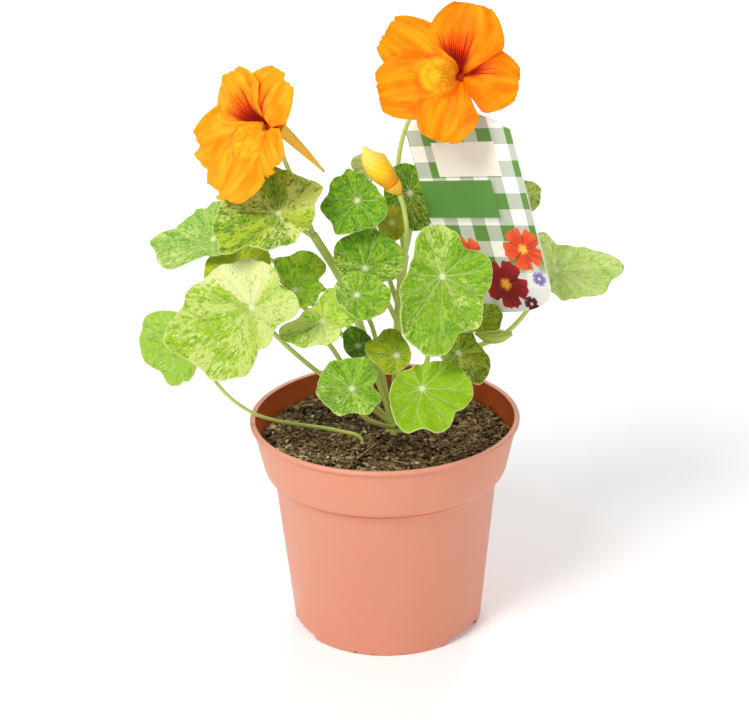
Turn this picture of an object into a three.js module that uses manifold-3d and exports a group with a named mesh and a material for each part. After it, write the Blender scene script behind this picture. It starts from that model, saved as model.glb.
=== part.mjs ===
// A nasturtium in a 13 cm nursery pot, with its printed plant label.
// Millimetres, +Z up. The origin is the centre of the pot's base, on the surface it stands on.
// +X is to the right of the side that the blooms face, and +Y is away from it.

import * as THREE from 'three';
import { mergeVertices } from 'three/addons/utils/BufferGeometryUtils.js';
import Module from 'manifold-3d';

const wasm = await Module();
wasm.setup();

// ---- Driving dimensions ----

const GAP = 0.3; // clearance between pieces that touch

const POT_HEIGHT = 107;
const POT_RIM_RADIUS = 65;
const POT_BASE_RADIUS = 46.3;
const POT_WALL = 1.5;
const POT_SIDES = 40;
const BASE_BEVEL = 1.2;
const BODY_TOP_RADIUS = 54.2;
const COLLAR_BOTTOM = 78.5;
const COLLAR_TOP_RADIUS = 63.8;
// The outer line of the collar between those two, as [radius, height over COLLAR_BOTTOM].
const COLLAR_LINE = [[57.4, 2], [58.9, 4.4], [60.6, 12], [62.8, 22]];
const LIP_DEPTH = 2.2;
const LIP_BEVEL = 0.5;
const DRAIN_ANGLES = [-36, 84, 204]; // degrees round the base
const DRAIN_WIDTH = 24;
const DRAIN_HEIGHT = 3.4;
const DRAIN_INNER_RADIUS = 33;
const DRAIN_OUTER_RADIUS = POT_BASE_RADIUS + 4; // past the base edge, so that the drains open there

const SOIL_TOP = 96.5;
const SOIL_LUMP = 1.1; // height of the lumps on the surface
const SOIL_SEED = 7;
const SOIL_EDGE_DROP = 1; // the soil is this much lower at the pot's wall,
const SOIL_EDGE_WIDTH = 1.5; // in a slope this wide
const SOIL_RINGS = 9;
const SOIL_SIDES = 40;
const HOLE_SIDES = 12;

const CROWN = [5, 4]; // where the leafy stems leave the soil
const CROWN_RADIUS = 5.2;
const CROWN_FOOT = 84;
const CROWN_FOOT_RADIUS = 2;
const CROWN_LOW = SOIL_TOP - 5; // between these two heights it is CROWN_RADIUS thick
const CROWN_HIGH = SOIL_TOP + 1;
const CROWN_TOP = SOIL_TOP + 7;
const CROWN_TOP_RADIUS = 2.4;
const CROWN_SIDES = 8;
const CROWN_CLEARANCE = 1; // between the crown and its hole in the soil
const TRAIL_FOOT = [-11.6, -7.1]; // where the lone petiole leaves the soil
const TRAIL_DEPTH = 12;
const TRAIL_CLEARANCES = [0.8, 1.6]; // round it in its hole, at the foot and at the top
const STEM_SIDES = 6;
const STEM_RADIUS = 2.1;
const STEM_STEPS = 10;
const PETIOLE_SIDES = 5;
const PETIOLE_RADIUS = 1.15;
const PETIOLE_APPROACH = 13; // length of the straight run up to the blade
const PETIOLE_STEPS = 8;

const BLADE_THICKNESS = 0.8;
// How finely a blade is divided, by how far it reaches at most.
const BLADE_DIVISIONS = [
  { upTo: 16, segments: 16, rings: [0.55, 1] },
  { upTo: 21, segments: 24, rings: [0.55, 1] },
  { upTo: Infinity, segments: 32, rings: [0.38, 0.72, 1] },
];

const PETAL_THICKNESS = 0.8;
const PETAL_ROWS = 6;
const PETAL_ROW_SPACING = 1.15; // over 1, the rows lie closer at the claw
const PETAL_COLUMNS = 6;
const PETAL_WIDEST = 0.56; // part of a petal's length where it is widest
const PETAL_END = 1.05; // part of its length where its sides would meet
const PETAL_BOW = 2.2; // the larger, the straighter its end
const PETAL_WAVES = 4.4; // angle, in radians, that the ruffles run through over its half width
const UPPER_CLAW = 1.5; // half widths of the claws
const LOWER_CLAW = 3.6;
const THROAT_RADIUS = 1.8;
const THROAT_DEPTH = 11;
const THROAT_FLARE = 4.5; // the distance in which the throat opens to a third of its depth
const BOSS_HEIGHT = 7; // the cushion that the claws of the lower petals form in front of the throat
const BOSS_RADIUS = 5.5;
const THROAT_RING_WALL = 0.4;
const THROAT_RING_HEIGHT = 2.4;
const THROAT_SIDES = 10;
const CALYX_WALL = 0.9;
const CUP_DEPTH = 2.4;
const CUP_DISH = 0.2; // how far the cup's underside rises from its middle to the spur's width
const CUP_RIM = 0.5; // height of the cup's wall over its floor
const SEPAL_LENGTH = 13;
const SEPAL_WIDTH = 9;
const SEPAL_RISE = 6;
const SEPAL_DROP = 1.8; // how far under the throat the sepals start
const SEPAL_SEAT = THROAT_RADIUS + 1; // where they start, from the bloom's axis
const SEPAL_TAPER = 85; // degrees of a cosine that a sepal's sides follow to its point
const SEPAL_SHARPNESS = 1.6; // over 1, it narrows late
const SEPAL_ROWS = 3;
const SEPAL_COUNT = 5;
const SEPAL_TURN = 30; // degrees from the first petal to the first sepal
const SPUR_RADII = [3, 2.5, 1.6, 0.6]; // from the calyx to the tip
const SPUR_SIDES = 6;
const SPUR_STEPS = 7;
const STALK_GAP = 1 + GAP; // under the cup's floor

const LABEL_WIDTH = 60;
const LABEL_SHOULDER = 47; // above the label's middle, where its arched top starts
const LABEL_ARCH = 10; // rise of the arch
const LABEL_LOW = -45;
const LABEL_CORNER_RUN = 34; // how far the low right corner curves along the low edge
const LABEL_CORNER_RISE = 15; // and up the right edge
const LABEL_THICKNESS = 0.8;
const LABEL_CENTRE = [46.8, -2, 203.2];
const LABEL_TURN = -38; // degrees round its own long axis
const LABEL_LEAN = 14.2; // degrees that it leans to the left
const STAKE_WIDTH = 8; // where it leaves the plate, at the low left corner
const STAKE_TIP = [-49, -113]; // from the label's middle
const STAKE_TIP_WIDTH = 2;
const LABEL_CURVE_STEPS = 8;

// Each finish: its colour, as it looks from a step away, and its roughness.
const FINISHES = {
  pot: { colour: 0xd98a70, roughness: 0.55 },
  soil: { colour: 0x5b4630, roughness: 0.95 },
  stem: { colour: 0x9fb56a, roughness: 0.5 },
  leafDark: { colour: 0x5f9a24, roughness: 0.6 },
  leafMid: { colour: 0x86b83c, roughness: 0.6 },
  leafPale: { colour: 0xcddc8e, roughness: 0.6 },
  petal: { colour: 0xff9414, roughness: 0.5 },
  calyx: { colour: 0xf0a830, roughness: 0.5 },
  bud: { colour: 0xf7b42e, roughness: 0.5 },
  label: { colour: 0xf2f0e6, roughness: 0.35 },
};

// Each leaf blade: its hub, where the petiole holds it, the way its face looks, and how far its
// edge reaches from the hub in equal steps round, starting at its right side.
// face: degrees round the upright, 0 looks to the front. lift: degrees that the face looks up.
// cup: how far the edge rises over the hub. wave: height of the edge's waves, lobes of them round.
const LEAVES = [
  { name: 'left_low', hub: [-93, -5, 147], face: -30, lift: 25, cup: 2, wave: 1.2, lobes: 5,
    tone: 'leafMid', reach: [12, 12, 11, 11, 11, 11, 11, 11, 12, 13, 15, 18, 21, 24, 26, 26,
      26, 26, 25, 23, 20, 18, 19, 21, 20, 18, 18, 16, 14, 13, 12, 12] },
  { name: 'left_big', hub: [-60, -32, 176], face: -18, lift: 42, cup: 4, wave: 1.4, lobes: 6,
    tone: 'leafPale', reach: [25, 24, 21, 17, 17, 20, 21, 21, 22, 24, 24, 23, 25, 26, 27, 31,
      32, 33, 40, 44, 40, 38, 38, 40, 37, 34, 24, 24, 22, 19, 19, 22] },
  { name: 'left_high', hub: [-79, 9, 195], face: -35, lift: 35, cup: 0, wave: 0.6, lobes: 4,
    fold: { axis: 191, rise: 0.45 },
    tone: 'leafMid', reach: [10, 10, 11, 12, 13, 14, 16, 18, 17, 16, 14, 15, 16, 16, 18, 20,
      24, 36, 32, 30, 28, 24, 17, 12, 11, 10, 10, 11, 12, 12, 12, 11] },
  { name: 'upper_left', hub: [-47, -14, 215], face: -8, lift: 48, cup: 3, wave: 1.4, lobes: 6,
    tone: 'leafMid', reach: [18, 18, 21, 24, 23, 21, 20, 21, 22, 24, 22, 20, 19, 20, 24, 27,
      28, 29, 32, 32, 34, 24, 22, 22, 21, 19, 19, 20, 18, 18, 18, 18] },
  { name: 'under_left', hub: [-66, 3, 183], face: -15, lift: 48, cup: 1, wave: 1, lobes: 5,
    tone: 'leafMid', reach: [15, 15, 15, 14, 13, 13, 14, 15, 18, 19, 18, 16, 14, 13, 13, 14] },
  { name: 'mid_left', hub: [-41, -8, 175], face: 5, lift: 40, cup: 2, wave: 1.2, lobes: 5,
    tone: 'leafDark', reach: [14, 12, 18, 20, 21, 20, 17, 17, 18, 10, 8, 6, 5, 5, 5, 5,
      6, 6, 8, 10, 11, 12, 12, 12] },
  { name: 'centre_left', hub: [-28, -25, 166], face: 0, lift: 50, cup: 3, wave: 1.4, lobes: 5,
    tone: 'leafDark', reach: [18, 16, 15, 15, 17, 16, 12, 9, 8, 8, 8, 9, 12, 21, 22, 20,
      19, 15, 14, 14, 14, 12, 11, 13] },
  { name: 'top_middle', hub: [-11, 2, 215], face: 0, lift: 35, cup: 2, wave: 0.8, lobes: 6,
    tone: 'leafDark', reach: [13, 11, 11, 11, 11, 13, 13, 16, 14, 15, 15, 14, 16, 18, 17, 17,
      20, 18, 16, 15, 16, 16, 16, 15] },
  { name: 'behind_label', hub: [14, 27, 210], face: 5, lift: 25, cup: 2, wave: 0.8, lobes: 5,
    tone: 'leafDark', reach: [13, 13, 13, 13, 14, 15, 14, 13, 13, 13, 15, 16, 19, 19, 17, 15] },
  { name: 'centre', hub: [-8, -10, 186], face: 3, lift: 42, cup: 2, wave: 1, lobes: 6,
    tone: 'leafDark', reach: [19, 20, 19, 19, 20, 18, 18, 16, 14, 12, 11, 11, 11, 11, 12, 16] },
  { name: 'centre_low', hub: [-12, -24, 178], face: 3, lift: 46, cup: 2, wave: 1, lobes: 5,
    tone: 'leafDark', reach: [16, 13, 12, 11, 11, 11, 11, 11, 10, 10, 10, 11, 13, 15, 16, 16] },
  { name: 'right_big', hub: [27, -34, 190], face: 2, lift: 30, cup: 4, wave: 1.6, lobes: 7,
    tone: 'leafMid', reach: [23, 23, 22, 20, 17, 17, 20, 22, 24, 24, 23, 21, 18, 16, 16, 16,
      17, 20, 22, 24, 29, 34, 36, 39, 37, 29, 28, 29, 25, 22, 22, 23] },
  { name: 'far_right_small', hub: [70, 30, 206], face: 25, lift: 30, cup: 1, wave: 0.6, lobes: 4,
    tone: 'leafMid', reach: [7, 8, 8, 8, 8, 8, 8, 9, 9, 9, 9, 8, 8, 7, 7, 7] },
  { name: 'far_right', hub: [83, 14, 174], face: 30, lift: 35, cup: 1, wave: 0.8, lobes: 5,
    fold: { axis: 350, rise: 0.3 },
    tone: 'leafMid', reach: [33, 23, 19, 15, 14, 13, 12, 12, 14, 19, 20, 16, 13, 12, 11, 10,
      10, 10, 11, 13, 15, 16, 17, 17, 16, 17, 18, 21, 25, 27, 30, 38] },
  { name: 'front_left', hub: [-15, -44, 140], face: -3, lift: 52, cup: 2, wave: 1.4, lobes: 6,
    tone: 'leafMid', reach: [10, 12, 14, 14, 16, 15, 15, 16, 16, 16, 16, 16, 16, 17, 16, 15,
      16, 17, 14, 14, 17, 16, 16, 14] },
  { name: 'front_right', hub: [17, -48, 141], face: 5, lift: 45, cup: 3, wave: 1.4, lobes: 7,
    tone: 'leafMid', reach: [23, 21, 20, 19, 17, 14, 12, 12, 11, 11, 10, 10, 12, 13, 13, 14,
      15, 16, 17, 19, 21, 23, 24, 22, 22, 24, 24, 22, 20, 22, 23, 24] },
  { name: 'right_low', hub: [35, -16, 145], face: 20, lift: 45, cup: 2, wave: 1, lobes: 5,
    tone: 'leafDark', reach: [12, 10, 11, 12, 11, 10, 9, 9, 9, 9, 9, 10, 10, 10, 10, 12,
      12, 13, 15, 19, 18, 17, 16, 14] },
  { name: 'right_mid', hub: [45, -8, 159], face: 20, lift: 45, cup: 1, wave: 0.8, lobes: 4,
    tone: 'leafDark', reach: [12, 11, 9, 8, 8, 8, 8, 9, 10, 9, 8, 8, 8, 9, 11, 11] },
  { name: 'low_centre', hub: [6, -20, 146], face: 0, lift: 50, cup: 1, wave: 1, lobes: 4,
    tone: 'leafMid', reach: [7, 7, 8, 10, 13, 14, 13, 16, 14, 12, 11, 11, 10, 9, 8, 7] },
  { name: 'low_left', hub: [-12, -12, 148], face: -5, lift: 50, cup: 1, wave: 0.8, lobes: 4,
    tone: 'leafDark', reach: [7, 7, 7, 8, 9, 10, 10, 8, 7, 7, 7, 7, 7, 8, 8, 7] },
  { name: 'behind_bud', hub: [5, 16, 199], face: 10, lift: 40, cup: 1, wave: 0.6, lobes: 4,
    tone: 'leafMid', reach: [7, 7, 8, 9, 9, 9, 9, 8, 8, 8, 9, 10, 10, 9, 8, 7] },
  { name: 'behind_bud_top', hub: [-4, 30, 223], face: 0, lift: 40, cup: 1, wave: 0.6, lobes: 4,
    tone: 'leafPale', reach: [8, 8, 8, 7, 7, 7, 8, 10, 10, 9, 8, 8, 8, 8, 8, 8] },
];

// The leafy stems that rise from the crown.
const STEMS = {
  left: [[5, 4, CROWN_FOOT + 8], [1, 8, 112], [-8, 8, 140], [-18, 5, 172], [-32, 5, 198]],
  middle: [[5, 4, CROWN_FOOT + 8], [6, 8, 125], [8, 14, 160], [11, 18, 182]],
  right: [[5, 4, CROWN_FOOT + 8], [7, 4, 100], [16, 4, 113], [30, 4, 128], [44, 6, 142]],
};

// The way each petiole takes from its stem to its blade, up to the straight run behind the hub.
const PETIOLE_ROUTES = {
  left_big: [[4, 3, 100], [-14, -4, 119], [-30, -12, 134], [-46, -18, 152]],
  left_high: [[-15, 6, 162], [-36, 18, 170], [-60, 25, 182]],
  upper_left: [[-31, 5, 196], [-40, 2, 203]],
  under_left: [[-10, 7, 146], [-34, 18, 158], [-56, 24, 168]],
  mid_left: [[-4, 8, 130], [-22, 8, 148]],
  centre_left: [[4, 4, 100], [-12, -6, 124], [-22, -9, 142]],
  top_middle: [[9, 15, 168], [2, 16, 188]],
  behind_label: [[10, 17, 178], [14, 33, 190]],
  centre: [[7, 12, 150], [0, 8, 166]],
  centre_low: [[4, 4, 100], [-1, 2, 130], [-6, -2, 156]],
  right_big: [[6, 4, 100], [18, -8, 130], [24, -16, 160]],
  far_right_small: [[8, 14, 160], [28, 34, 172], [56, 44, 186]],
  far_right: [[40, 5, 138], [57, 3, 146], [70, 12, 156]],
  front_left: [[5, 3, 100], [2, -12, 106], [-9, -28, 118]],
  front_right: [[6, 3, 100], [11, -16, 107], [16, -32, 120]],
  right_low: [[18, 4, 115], [28, 0, 130]],
  right_mid: [[36, 5, 134], [42, 4, 144]],
  low_centre: [[5, 3, 100], [6, -3, 122]],
  low_left: [[4, 3, 100], [-4, 0, 126]],
  behind_bud: [[9, 15, 166], [8, 22, 182]],
  behind_bud_top: [[8, 13, 156], [-2, 30, 186], [-6, 40, 208]],
  left_low: [[...TRAIL_FOOT, SOIL_TOP - TRAIL_DEPTH], [-11.7, -7.1, 98], [-22, -7, 102], [-62, -5.5, 111],
    [-80, -2, 126]],
};

// Each bloom: the middle of its face, the way it looks, the middle of its boss in the face, its petals,
// the line of its spur as [x, y, depth under the throat], and where its stalk meets the calyx.
// A petal: its direction in the face (degrees from the right), length, width, how far it stands over
// or under its neighbours, how long its claw stays narrow, how far its tip curls back, and the height
// of its ruffles.
const BLOOMS = [
  {
    name: 'bloom_left', centre: [-57.7, -14, 255.3], face: -46, lift: 8, boss: [-3.4, -6.7],
    petals: [
      { angle: 133, length: 29, width: 34, over: 1.6, claw: 0.9, curl: 2, ruffle: 1.6, upper: true },
      { angle: 60, length: 31, width: 30, over: -0.4, claw: 0.9, curl: 3, ruffle: 1.4, upper: true },
      { angle: 208, length: 37, width: 33, over: -1.2, claw: 1.2, curl: -4, ruffle: 2, upper: false },
      { angle: 252, length: 35, width: 36, over: 1.6, claw: 1.2, curl: -5, ruffle: 1.8, upper: false },
      { angle: 322, length: 24, width: 26, over: 0.2, claw: 1.2, curl: 0, ruffle: 1.2, upper: false },
    ],
    spur: [[0.8, 1, 3.2], [3.5, -4, 8.5], [9, -12.5, 16.5], [14, -20, 23]],
    stalkSeat: [-1.6, -3],
    stalk: [[-32, 5, 198], [-38, 8, 216], [-44, 5, 234]],
  },
  {
    name: 'bloom_right', centre: [34.9, -15, 277.9], face: -8, lift: 18, boss: [-8.7, 0],
    petals: [
      { angle: 79, length: 33, width: 35, over: 1.5, claw: 0.8, curl: 3, ruffle: 1.4, upper: true },
      { angle: 353, length: 28, width: 29, over: -0.4, claw: 0.8, curl: 2, ruffle: 1.6, upper: true },
      { angle: 256, length: 30.5, width: 29, over: 0.8, claw: 1.2, curl: -1, ruffle: 1.8, upper: false },
      { angle: 193, length: 37, width: 31, over: 0.9, claw: 1.2, curl: 1, ruffle: 1.8, upper: false },
      { angle: 150, length: 39, width: 28, over: -0.9, claw: 1.2, curl: 2, ruffle: 1.6, upper: false },
    ],
    spur: [[1.2, 1, 2.2], [4, 5, 9], [7, 8, 17], [9, 8, 25]],
    stalkSeat: [-1.9, -1.8],
    stalk: [[11, 18, 182], [8, 34, 204], [10, 37, 230], [19, 20, 256]],
  },
];

const BUD_LINE = [[-7.5, 1, 241], [-5.5, 1, 237], [-2, 1.5, 232], [2, 2, 227], [5, 2.5, 223]];
const BUD_RADII = [1.2, 4.2, 5.8, 5.4, 4];
const BUD_CALYX_LINE = [[5.4, 2.6, 222.4], [7.2, 2.8, 220], [8.8, 3.2, 217.5]];
const BUD_CALYX_RADII = [4, 3.2, 1.3];
const BUD_STALK = [[10, 16, 176], [12, 7, 196], [10.5, 4, 211], [8.8, 3.3, 217]];

const YOUNG_LEAF_LINE = [[43.5, -5, 151], [50, -6, 149], [56, -7, 149.5], [60.5, -8, 151]];
const YOUNG_LEAF_RADII = [1.4, 3.2, 3.4, 1.2];
const YOUNG_LEAF_STALK = [[30, 4, 128], [34, -1, 144], [38, -4, 151.6], [42.8, -4.9, 151.3]];

// ---- Helpers ----

const radians = THREE.MathUtils.degToRad;

function vectors(points) {
  return points.map((point) => new THREE.Vector3(...point));
}

// Repeatable random numbers from 0 to 1.
function seededRandom(seed) {
  let state = seed;
  return () => {
    state = (state * 1664525 + 1013904223) % 4294967296;
    return state / 4294967296;
  };
}

// A value read from a closed ring of values, smoothly between them; turn runs from 0 to 1.
function smoothRing(values, turn) {
  const count = values.length;
  const place = (((turn % 1) + 1) % 1) * count;
  const step = Math.floor(place);
  const t = place - step;
  const [a, b, c, d] = [-1, 0, 1, 2].map((shift) => values[(step + shift + count) % count]);
  const slope = (c - a) * t;
  const bend = (2 * a - 5 * b + 4 * c - d) * t * t;
  const twist = (3 * b - a - 3 * c + d) * t * t * t;
  return (2 * b + slope + bend + twist) / 2;
}

// Turns a closed geometry into a solid that can be joined and cut.
function solidOf(geometry) {
  const bare = geometry.clone();
  bare.deleteAttribute('normal');
  bare.deleteAttribute('uv');
  const merged = mergeVertices(bare, 1e-4);
  return new wasm.Manifold(new wasm.Mesh({
    numProp: 3,
    vertProperties: new Float32Array(merged.attributes.position.array),
    triVerts: new Uint32Array(merged.index.array),
  }));
}

function geometryOf(solid) {
  const mesh = solid.getMesh();
  const geometry = new THREE.BufferGeometry();
  geometry.setAttribute('position', new THREE.BufferAttribute(mesh.vertProperties, 3));
  geometry.setIndex(new THREE.BufferAttribute(mesh.triVerts, 1));
  geometry.computeVertexNormals();
  return geometry;
}

function joined(geometries) {
  return geometries.map(solidOf).reduce((whole, piece) => whole.add(piece));
}

// A closed blade of even thickness on a sheet of points and triangles, alike on both faces.
function thickened(points, triangles, thickness) {
  const normals = points.map(() => new THREE.Vector3());
  for (const [a, b, c] of triangles) {
    const across = points[b].clone().sub(points[a]);
    const facing = across.cross(points[c].clone().sub(points[a]));
    normals[a].add(facing);
    normals[b].add(facing);
    normals[c].add(facing);
  }
  const positions = [];
  for (const side of [0.5, -0.5]) {
    points.forEach((point, i) => {
      const moved = point.clone().addScaledVector(normals[i].clone().normalize(), side * thickness);
      positions.push(moved.x, moved.y, moved.z);
    });
  }
  const under = points.length;
  const index = [];
  const openEdges = new Map();
  for (const [a, b, c] of triangles) {
    index.push(a, b, c, under + a, under + c, under + b);
    for (const [from, to] of [[a, b], [b, c], [c, a]]) {
      if (!openEdges.delete(`${to} ${from}`)) {
        openEdges.set(`${from} ${to}`, [from, to]);
      }
    }
  }
  for (const [from, to] of openEdges.values()) {
    index.push(from, under + from, under + to, from, under + to, to);
  }
  const geometry = new THREE.BufferGeometry();
  geometry.setAttribute('position', new THREE.Float32BufferAttribute(positions, 3));
  geometry.setIndex(index);
  return geometry;
}

// A stem of one thickness along a curve.
function stemAlong(points, { radius, sides, steps }) {
  const section = new THREE.Shape();
  for (let i = 0; i < sides; i += 1) {
    const turn = (i / sides) * 2 * Math.PI;
    const corner = [radius * Math.cos(turn), radius * Math.sin(turn)];
    if (i === 0) {
      section.moveTo(...corner);
    } else {
      section.lineTo(...corner);
    }
  }
  section.closePath();
  const path = new THREE.CatmullRomCurve3(vectors(points), false, 'centripetal');
  return new THREE.ExtrudeGeometry(section, { steps, extrudePath: path, bevelEnabled: false });
}

// A round body along a curve whose radius changes evenly through the given radii.
function taperedAlong(points, radii, { sides, steps }) {
  const path = new THREE.CatmullRomCurve3(vectors(points), false, 'centripetal');
  const frames = path.computeFrenetFrames(steps, false);
  const radiusLine = new THREE.SplineCurve(radii.map((radius, i) => new THREE.Vector2(i, radius)));
  const positions = [];
  for (let step = 0; step <= steps; step += 1) {
    const t = step / steps;
    const middle = path.getPointAt(t);
    const radius = radiusLine.getPoint(t).y;
    for (let side = 0; side < sides; side += 1) {
      const turn = (side / sides) * 2 * Math.PI;
      const point = middle.clone()
        .addScaledVector(frames.normals[step], radius * Math.cos(turn))
        .addScaledVector(frames.binormals[step], radius * Math.sin(turn));
      positions.push(point.x, point.y, point.z);
    }
  }
  const start = path.getPointAt(0);
  const end = path.getPointAt(1);
  positions.push(start.x, start.y, start.z, end.x, end.y, end.z);
  const startPole = (steps + 1) * sides;
  const lastRing = steps * sides;
  const index = [];
  for (let side = 0; side < sides; side += 1) {
    const next = (side + 1) % sides;
    for (let step = 0; step < steps; step += 1) {
      const ring = step * sides;
      index.push(ring + side, ring + next, ring + sides + next);
      index.push(ring + side, ring + sides + next, ring + sides + side);
    }
    index.push(startPole, next, side);
    index.push(startPole + 1, lastRing + side, lastRing + next);
  }
  const geometry = new THREE.BufferGeometry();
  geometry.setAttribute('position', new THREE.Float32BufferAttribute(positions, 3));
  geometry.setIndex(index);
  return geometry;
}

// A body turned about the upright from a profile of [radius, height] points.
function turned(profile, sides) {
  const points = profile.map(([radius, height]) => new THREE.Vector2(radius, height));
  return new THREE.LatheGeometry(points, sides).rotateX(Math.PI / 2);
}

function namedMesh(name, geometry, finish) {
  const { colour, roughness } = FINISHES[finish];
  const material = new THREE.MeshStandardMaterial({ color: colour, roughness, metalness: 0 });
  const mesh = new THREE.Mesh(geometry, material);
  mesh.name = name;
  return mesh;
}

// The turn that makes a piece's local +Z look to the given face and lift.
function facingTurn(face, lift) {
  return new THREE.Euler(radians(90 - lift), 0, radians(face), 'ZXY');
}

// ---- Pot and soil ----

// The outer line of the pot's side, from the base up to the lip.
const POT_SIDE = [
  [POT_BASE_RADIUS - BASE_BEVEL, 0],
  [POT_BASE_RADIUS, BASE_BEVEL],
  [BODY_TOP_RADIUS, COLLAR_BOTTOM],
  ...COLLAR_LINE.map(([radius, height]) => [radius, COLLAR_BOTTOM + height]),
  [COLLAR_TOP_RADIUS, POT_HEIGHT - LIP_DEPTH],
];

// The radius of the pot's outer side at a height.
function sideRadius(height) {
  const above = POT_SIDE.findIndex(([, pointHeight]) => pointHeight > height);
  const [lowRadius, low] = POT_SIDE[above - 1];
  const [highRadius, high] = POT_SIDE[above];
  return THREE.MathUtils.mapLinear(height, low, high, lowRadius, highRadius);
}

// The inner line of the side, a given distance in from the outer one. Under the collar the side runs
// almost level, so there it is raised by the wall as well.
function innerSide(inset) {
  return POT_SIDE.slice(1).map(([radius, height]) => {
    const underCollar = radius === BODY_TOP_RADIUS || radius === COLLAR_LINE[0][0];
    return [radius - inset, height + (underCollar ? POT_WALL : 0)];
  });
}

function drainBoxes(grow) {
  const length = DRAIN_OUTER_RADIUS - DRAIN_INNER_RADIUS;
  const height = DRAIN_HEIGHT + grow;
  return DRAIN_ANGLES.map((angle) => {
    const box = new THREE.BoxGeometry(length, DRAIN_WIDTH + 2 * grow, 2 * height);
    box.translate(DRAIN_INNER_RADIUS - grow + length / 2, 0, 0);
    return box.rotateZ(radians(angle));
  });
}

function makePot() {
  const inner = innerSide(POT_WALL);
  const profile = [
    [0, 0],
    ...POT_SIDE,
    [POT_RIM_RADIUS, POT_HEIGHT - LIP_DEPTH + LIP_BEVEL],
    [POT_RIM_RADIUS, POT_HEIGHT],
    [COLLAR_TOP_RADIUS - POT_WALL, POT_HEIGHT],
    ...inner.slice(1).reverse(),
    [POT_BASE_RADIUS - POT_WALL, POT_WALL],
    [0, POT_WALL],
  ];
  const shell = solidOf(turned(profile, POT_SIDES));
  // Each drain is a raised channel under the floor that opens through the base edge.
  const cavity = solidOf(turned([[0, POT_WALL / 2], ...innerSide(POT_WALL / 2), [0, POT_HEIGHT]], POT_SIDES));
  const housings = joined(drainBoxes(POT_WALL)).intersect(cavity);
  const drained = shell.add(housings).subtract(joined(drainBoxes(0)));
  return namedMesh('pot', geometryOf(drained), 'pot');
}

// The body of the soil, which fills the pot up to a lumpy surface.
function soilBody() {
  const inset = POT_WALL + GAP;
  const edge = SOIL_TOP - SOIL_EDGE_DROP;
  const edgeRadius = sideRadius(edge) - inset;
  const belowEdge = innerSide(inset).filter(([, height]) => height < edge);
  const profile = [
    [0, inset],
    [POT_BASE_RADIUS - inset, inset],
    ...belowEdge.slice(1),
    [edgeRadius, edge],
  ];
  for (let ring = SOIL_RINGS; ring >= 0; ring -= 1) {
    profile.push([(edgeRadius - SOIL_EDGE_WIDTH) * (ring / SOIL_RINGS), SOIL_TOP]);
  }
  const geometry = turned(profile, SOIL_SIDES);
  geometry.deleteAttribute('normal');
  geometry.deleteAttribute('uv');
  const body = mergeVertices(geometry, 1e-3);
  const random = seededRandom(SOIL_SEED);
  const place = body.attributes.position;
  for (let i = 0; i < place.count; i += 1) {
    if (place.getZ(i) > SOIL_TOP - 0.01) {
      place.setZ(i, SOIL_TOP + SOIL_LUMP * (2 * random() - 1));
    }
  }
  return solidOf(body);
}

// A round hole for a stem, from its floor to over the pot's rim.
function stemHole([x, y], floor, floorRadius, topRadius) {
  const profile = [[0, floor], [floorRadius, floor], [topRadius, POT_HEIGHT], [0, POT_HEIGHT]];
  return turned(profile, HOLE_SIDES).translate(x, y, 0);
}

function makeSoil(label) {
  const crownRadius = CROWN_RADIUS + CROWN_CLEARANCE;
  const crownHole = stemHole(CROWN, CROWN_FOOT - GAP, crownRadius, crownRadius);
  const trailFloor = SOIL_TOP - TRAIL_DEPTH - GAP;
  const [footRadius, topRadius] = TRAIL_CLEARANCES.map((clearance) => PETIOLE_RADIUS + clearance);
  const trailHole = stemHole(TRAIL_FOOT, trailFloor, footRadius, topRadius);
  const stakeSlot = labelPlate(GAP).applyMatrix4(label.matrixWorld);
  const cuts = joined([crownHole, trailHole, stakeSlot, ...drainBoxes(POT_WALL + GAP)]);
  return namedMesh('soil', geometryOf(soilBody().subtract(cuts)), 'soil');
}

// ---- Label ----

// The label's plate and stake, grown by a clearance all round. It lies in its own XY plane.
function labelPlate(grow) {
  const half = LABEL_WIDTH / 2 + grow;
  const low = LABEL_LOW - grow;
  const shoulder = LABEL_SHOULDER + grow;
  const outline = new THREE.Shape();
  outline.moveTo(-half, low);
  outline.lineTo(-half, shoulder);
  outline.quadraticCurveTo(0, shoulder + 2 * LABEL_ARCH, half, shoulder);
  outline.lineTo(half, low + LABEL_CORNER_RISE);
  outline.quadraticCurveTo(half, low, half - LABEL_CORNER_RUN, low);
  outline.lineTo(-half + STAKE_WIDTH + 2 * grow, low);
  const [tipX, tipY] = STAKE_TIP;
  const tipHalf = STAKE_TIP_WIDTH / 2 + grow;
  outline.lineTo(tipX + tipHalf, tipY - grow);
  outline.lineTo(tipX - tipHalf, tipY - grow);
  outline.closePath();
  const depth = LABEL_THICKNESS + 2 * grow;
  const settings = { depth, bevelEnabled: false, curveSegments: LABEL_CURVE_STEPS };
  return new THREE.ExtrudeGeometry(outline, settings).translate(0, 0, -depth / 2);
}

function makeLabel() {
  const mesh = namedMesh('label', labelPlate(0), 'label');
  mesh.position.set(...LABEL_CENTRE);
  const stand = new THREE.Matrix4().makeRotationY(radians(-LABEL_LEAN));
  stand.multiply(new THREE.Matrix4().makeRotationZ(radians(LABEL_TURN)));
  stand.multiply(new THREE.Matrix4().makeRotationX(Math.PI / 2));
  mesh.rotation.setFromRotationMatrix(stand);
  mesh.updateMatrixWorld();
  return mesh;
}

// ---- Leaves ----

// How far a blade's surface stands over its hub, at a part of its reach and a turn round it.
function bladeHeight(leaf, part, turn, x, y) {
  const raised = leaf.cup * part * part;
  const waved = leaf.wave * part * part * Math.sin(leaf.lobes * turn);
  if (!leaf.fold) {
    return raised + waved;
  }
  const axis = radians(leaf.fold.axis);
  const offLine = y * Math.cos(axis) - x * Math.sin(axis);
  return raised + waved + leaf.fold.rise * Math.abs(offLine);
}

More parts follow.
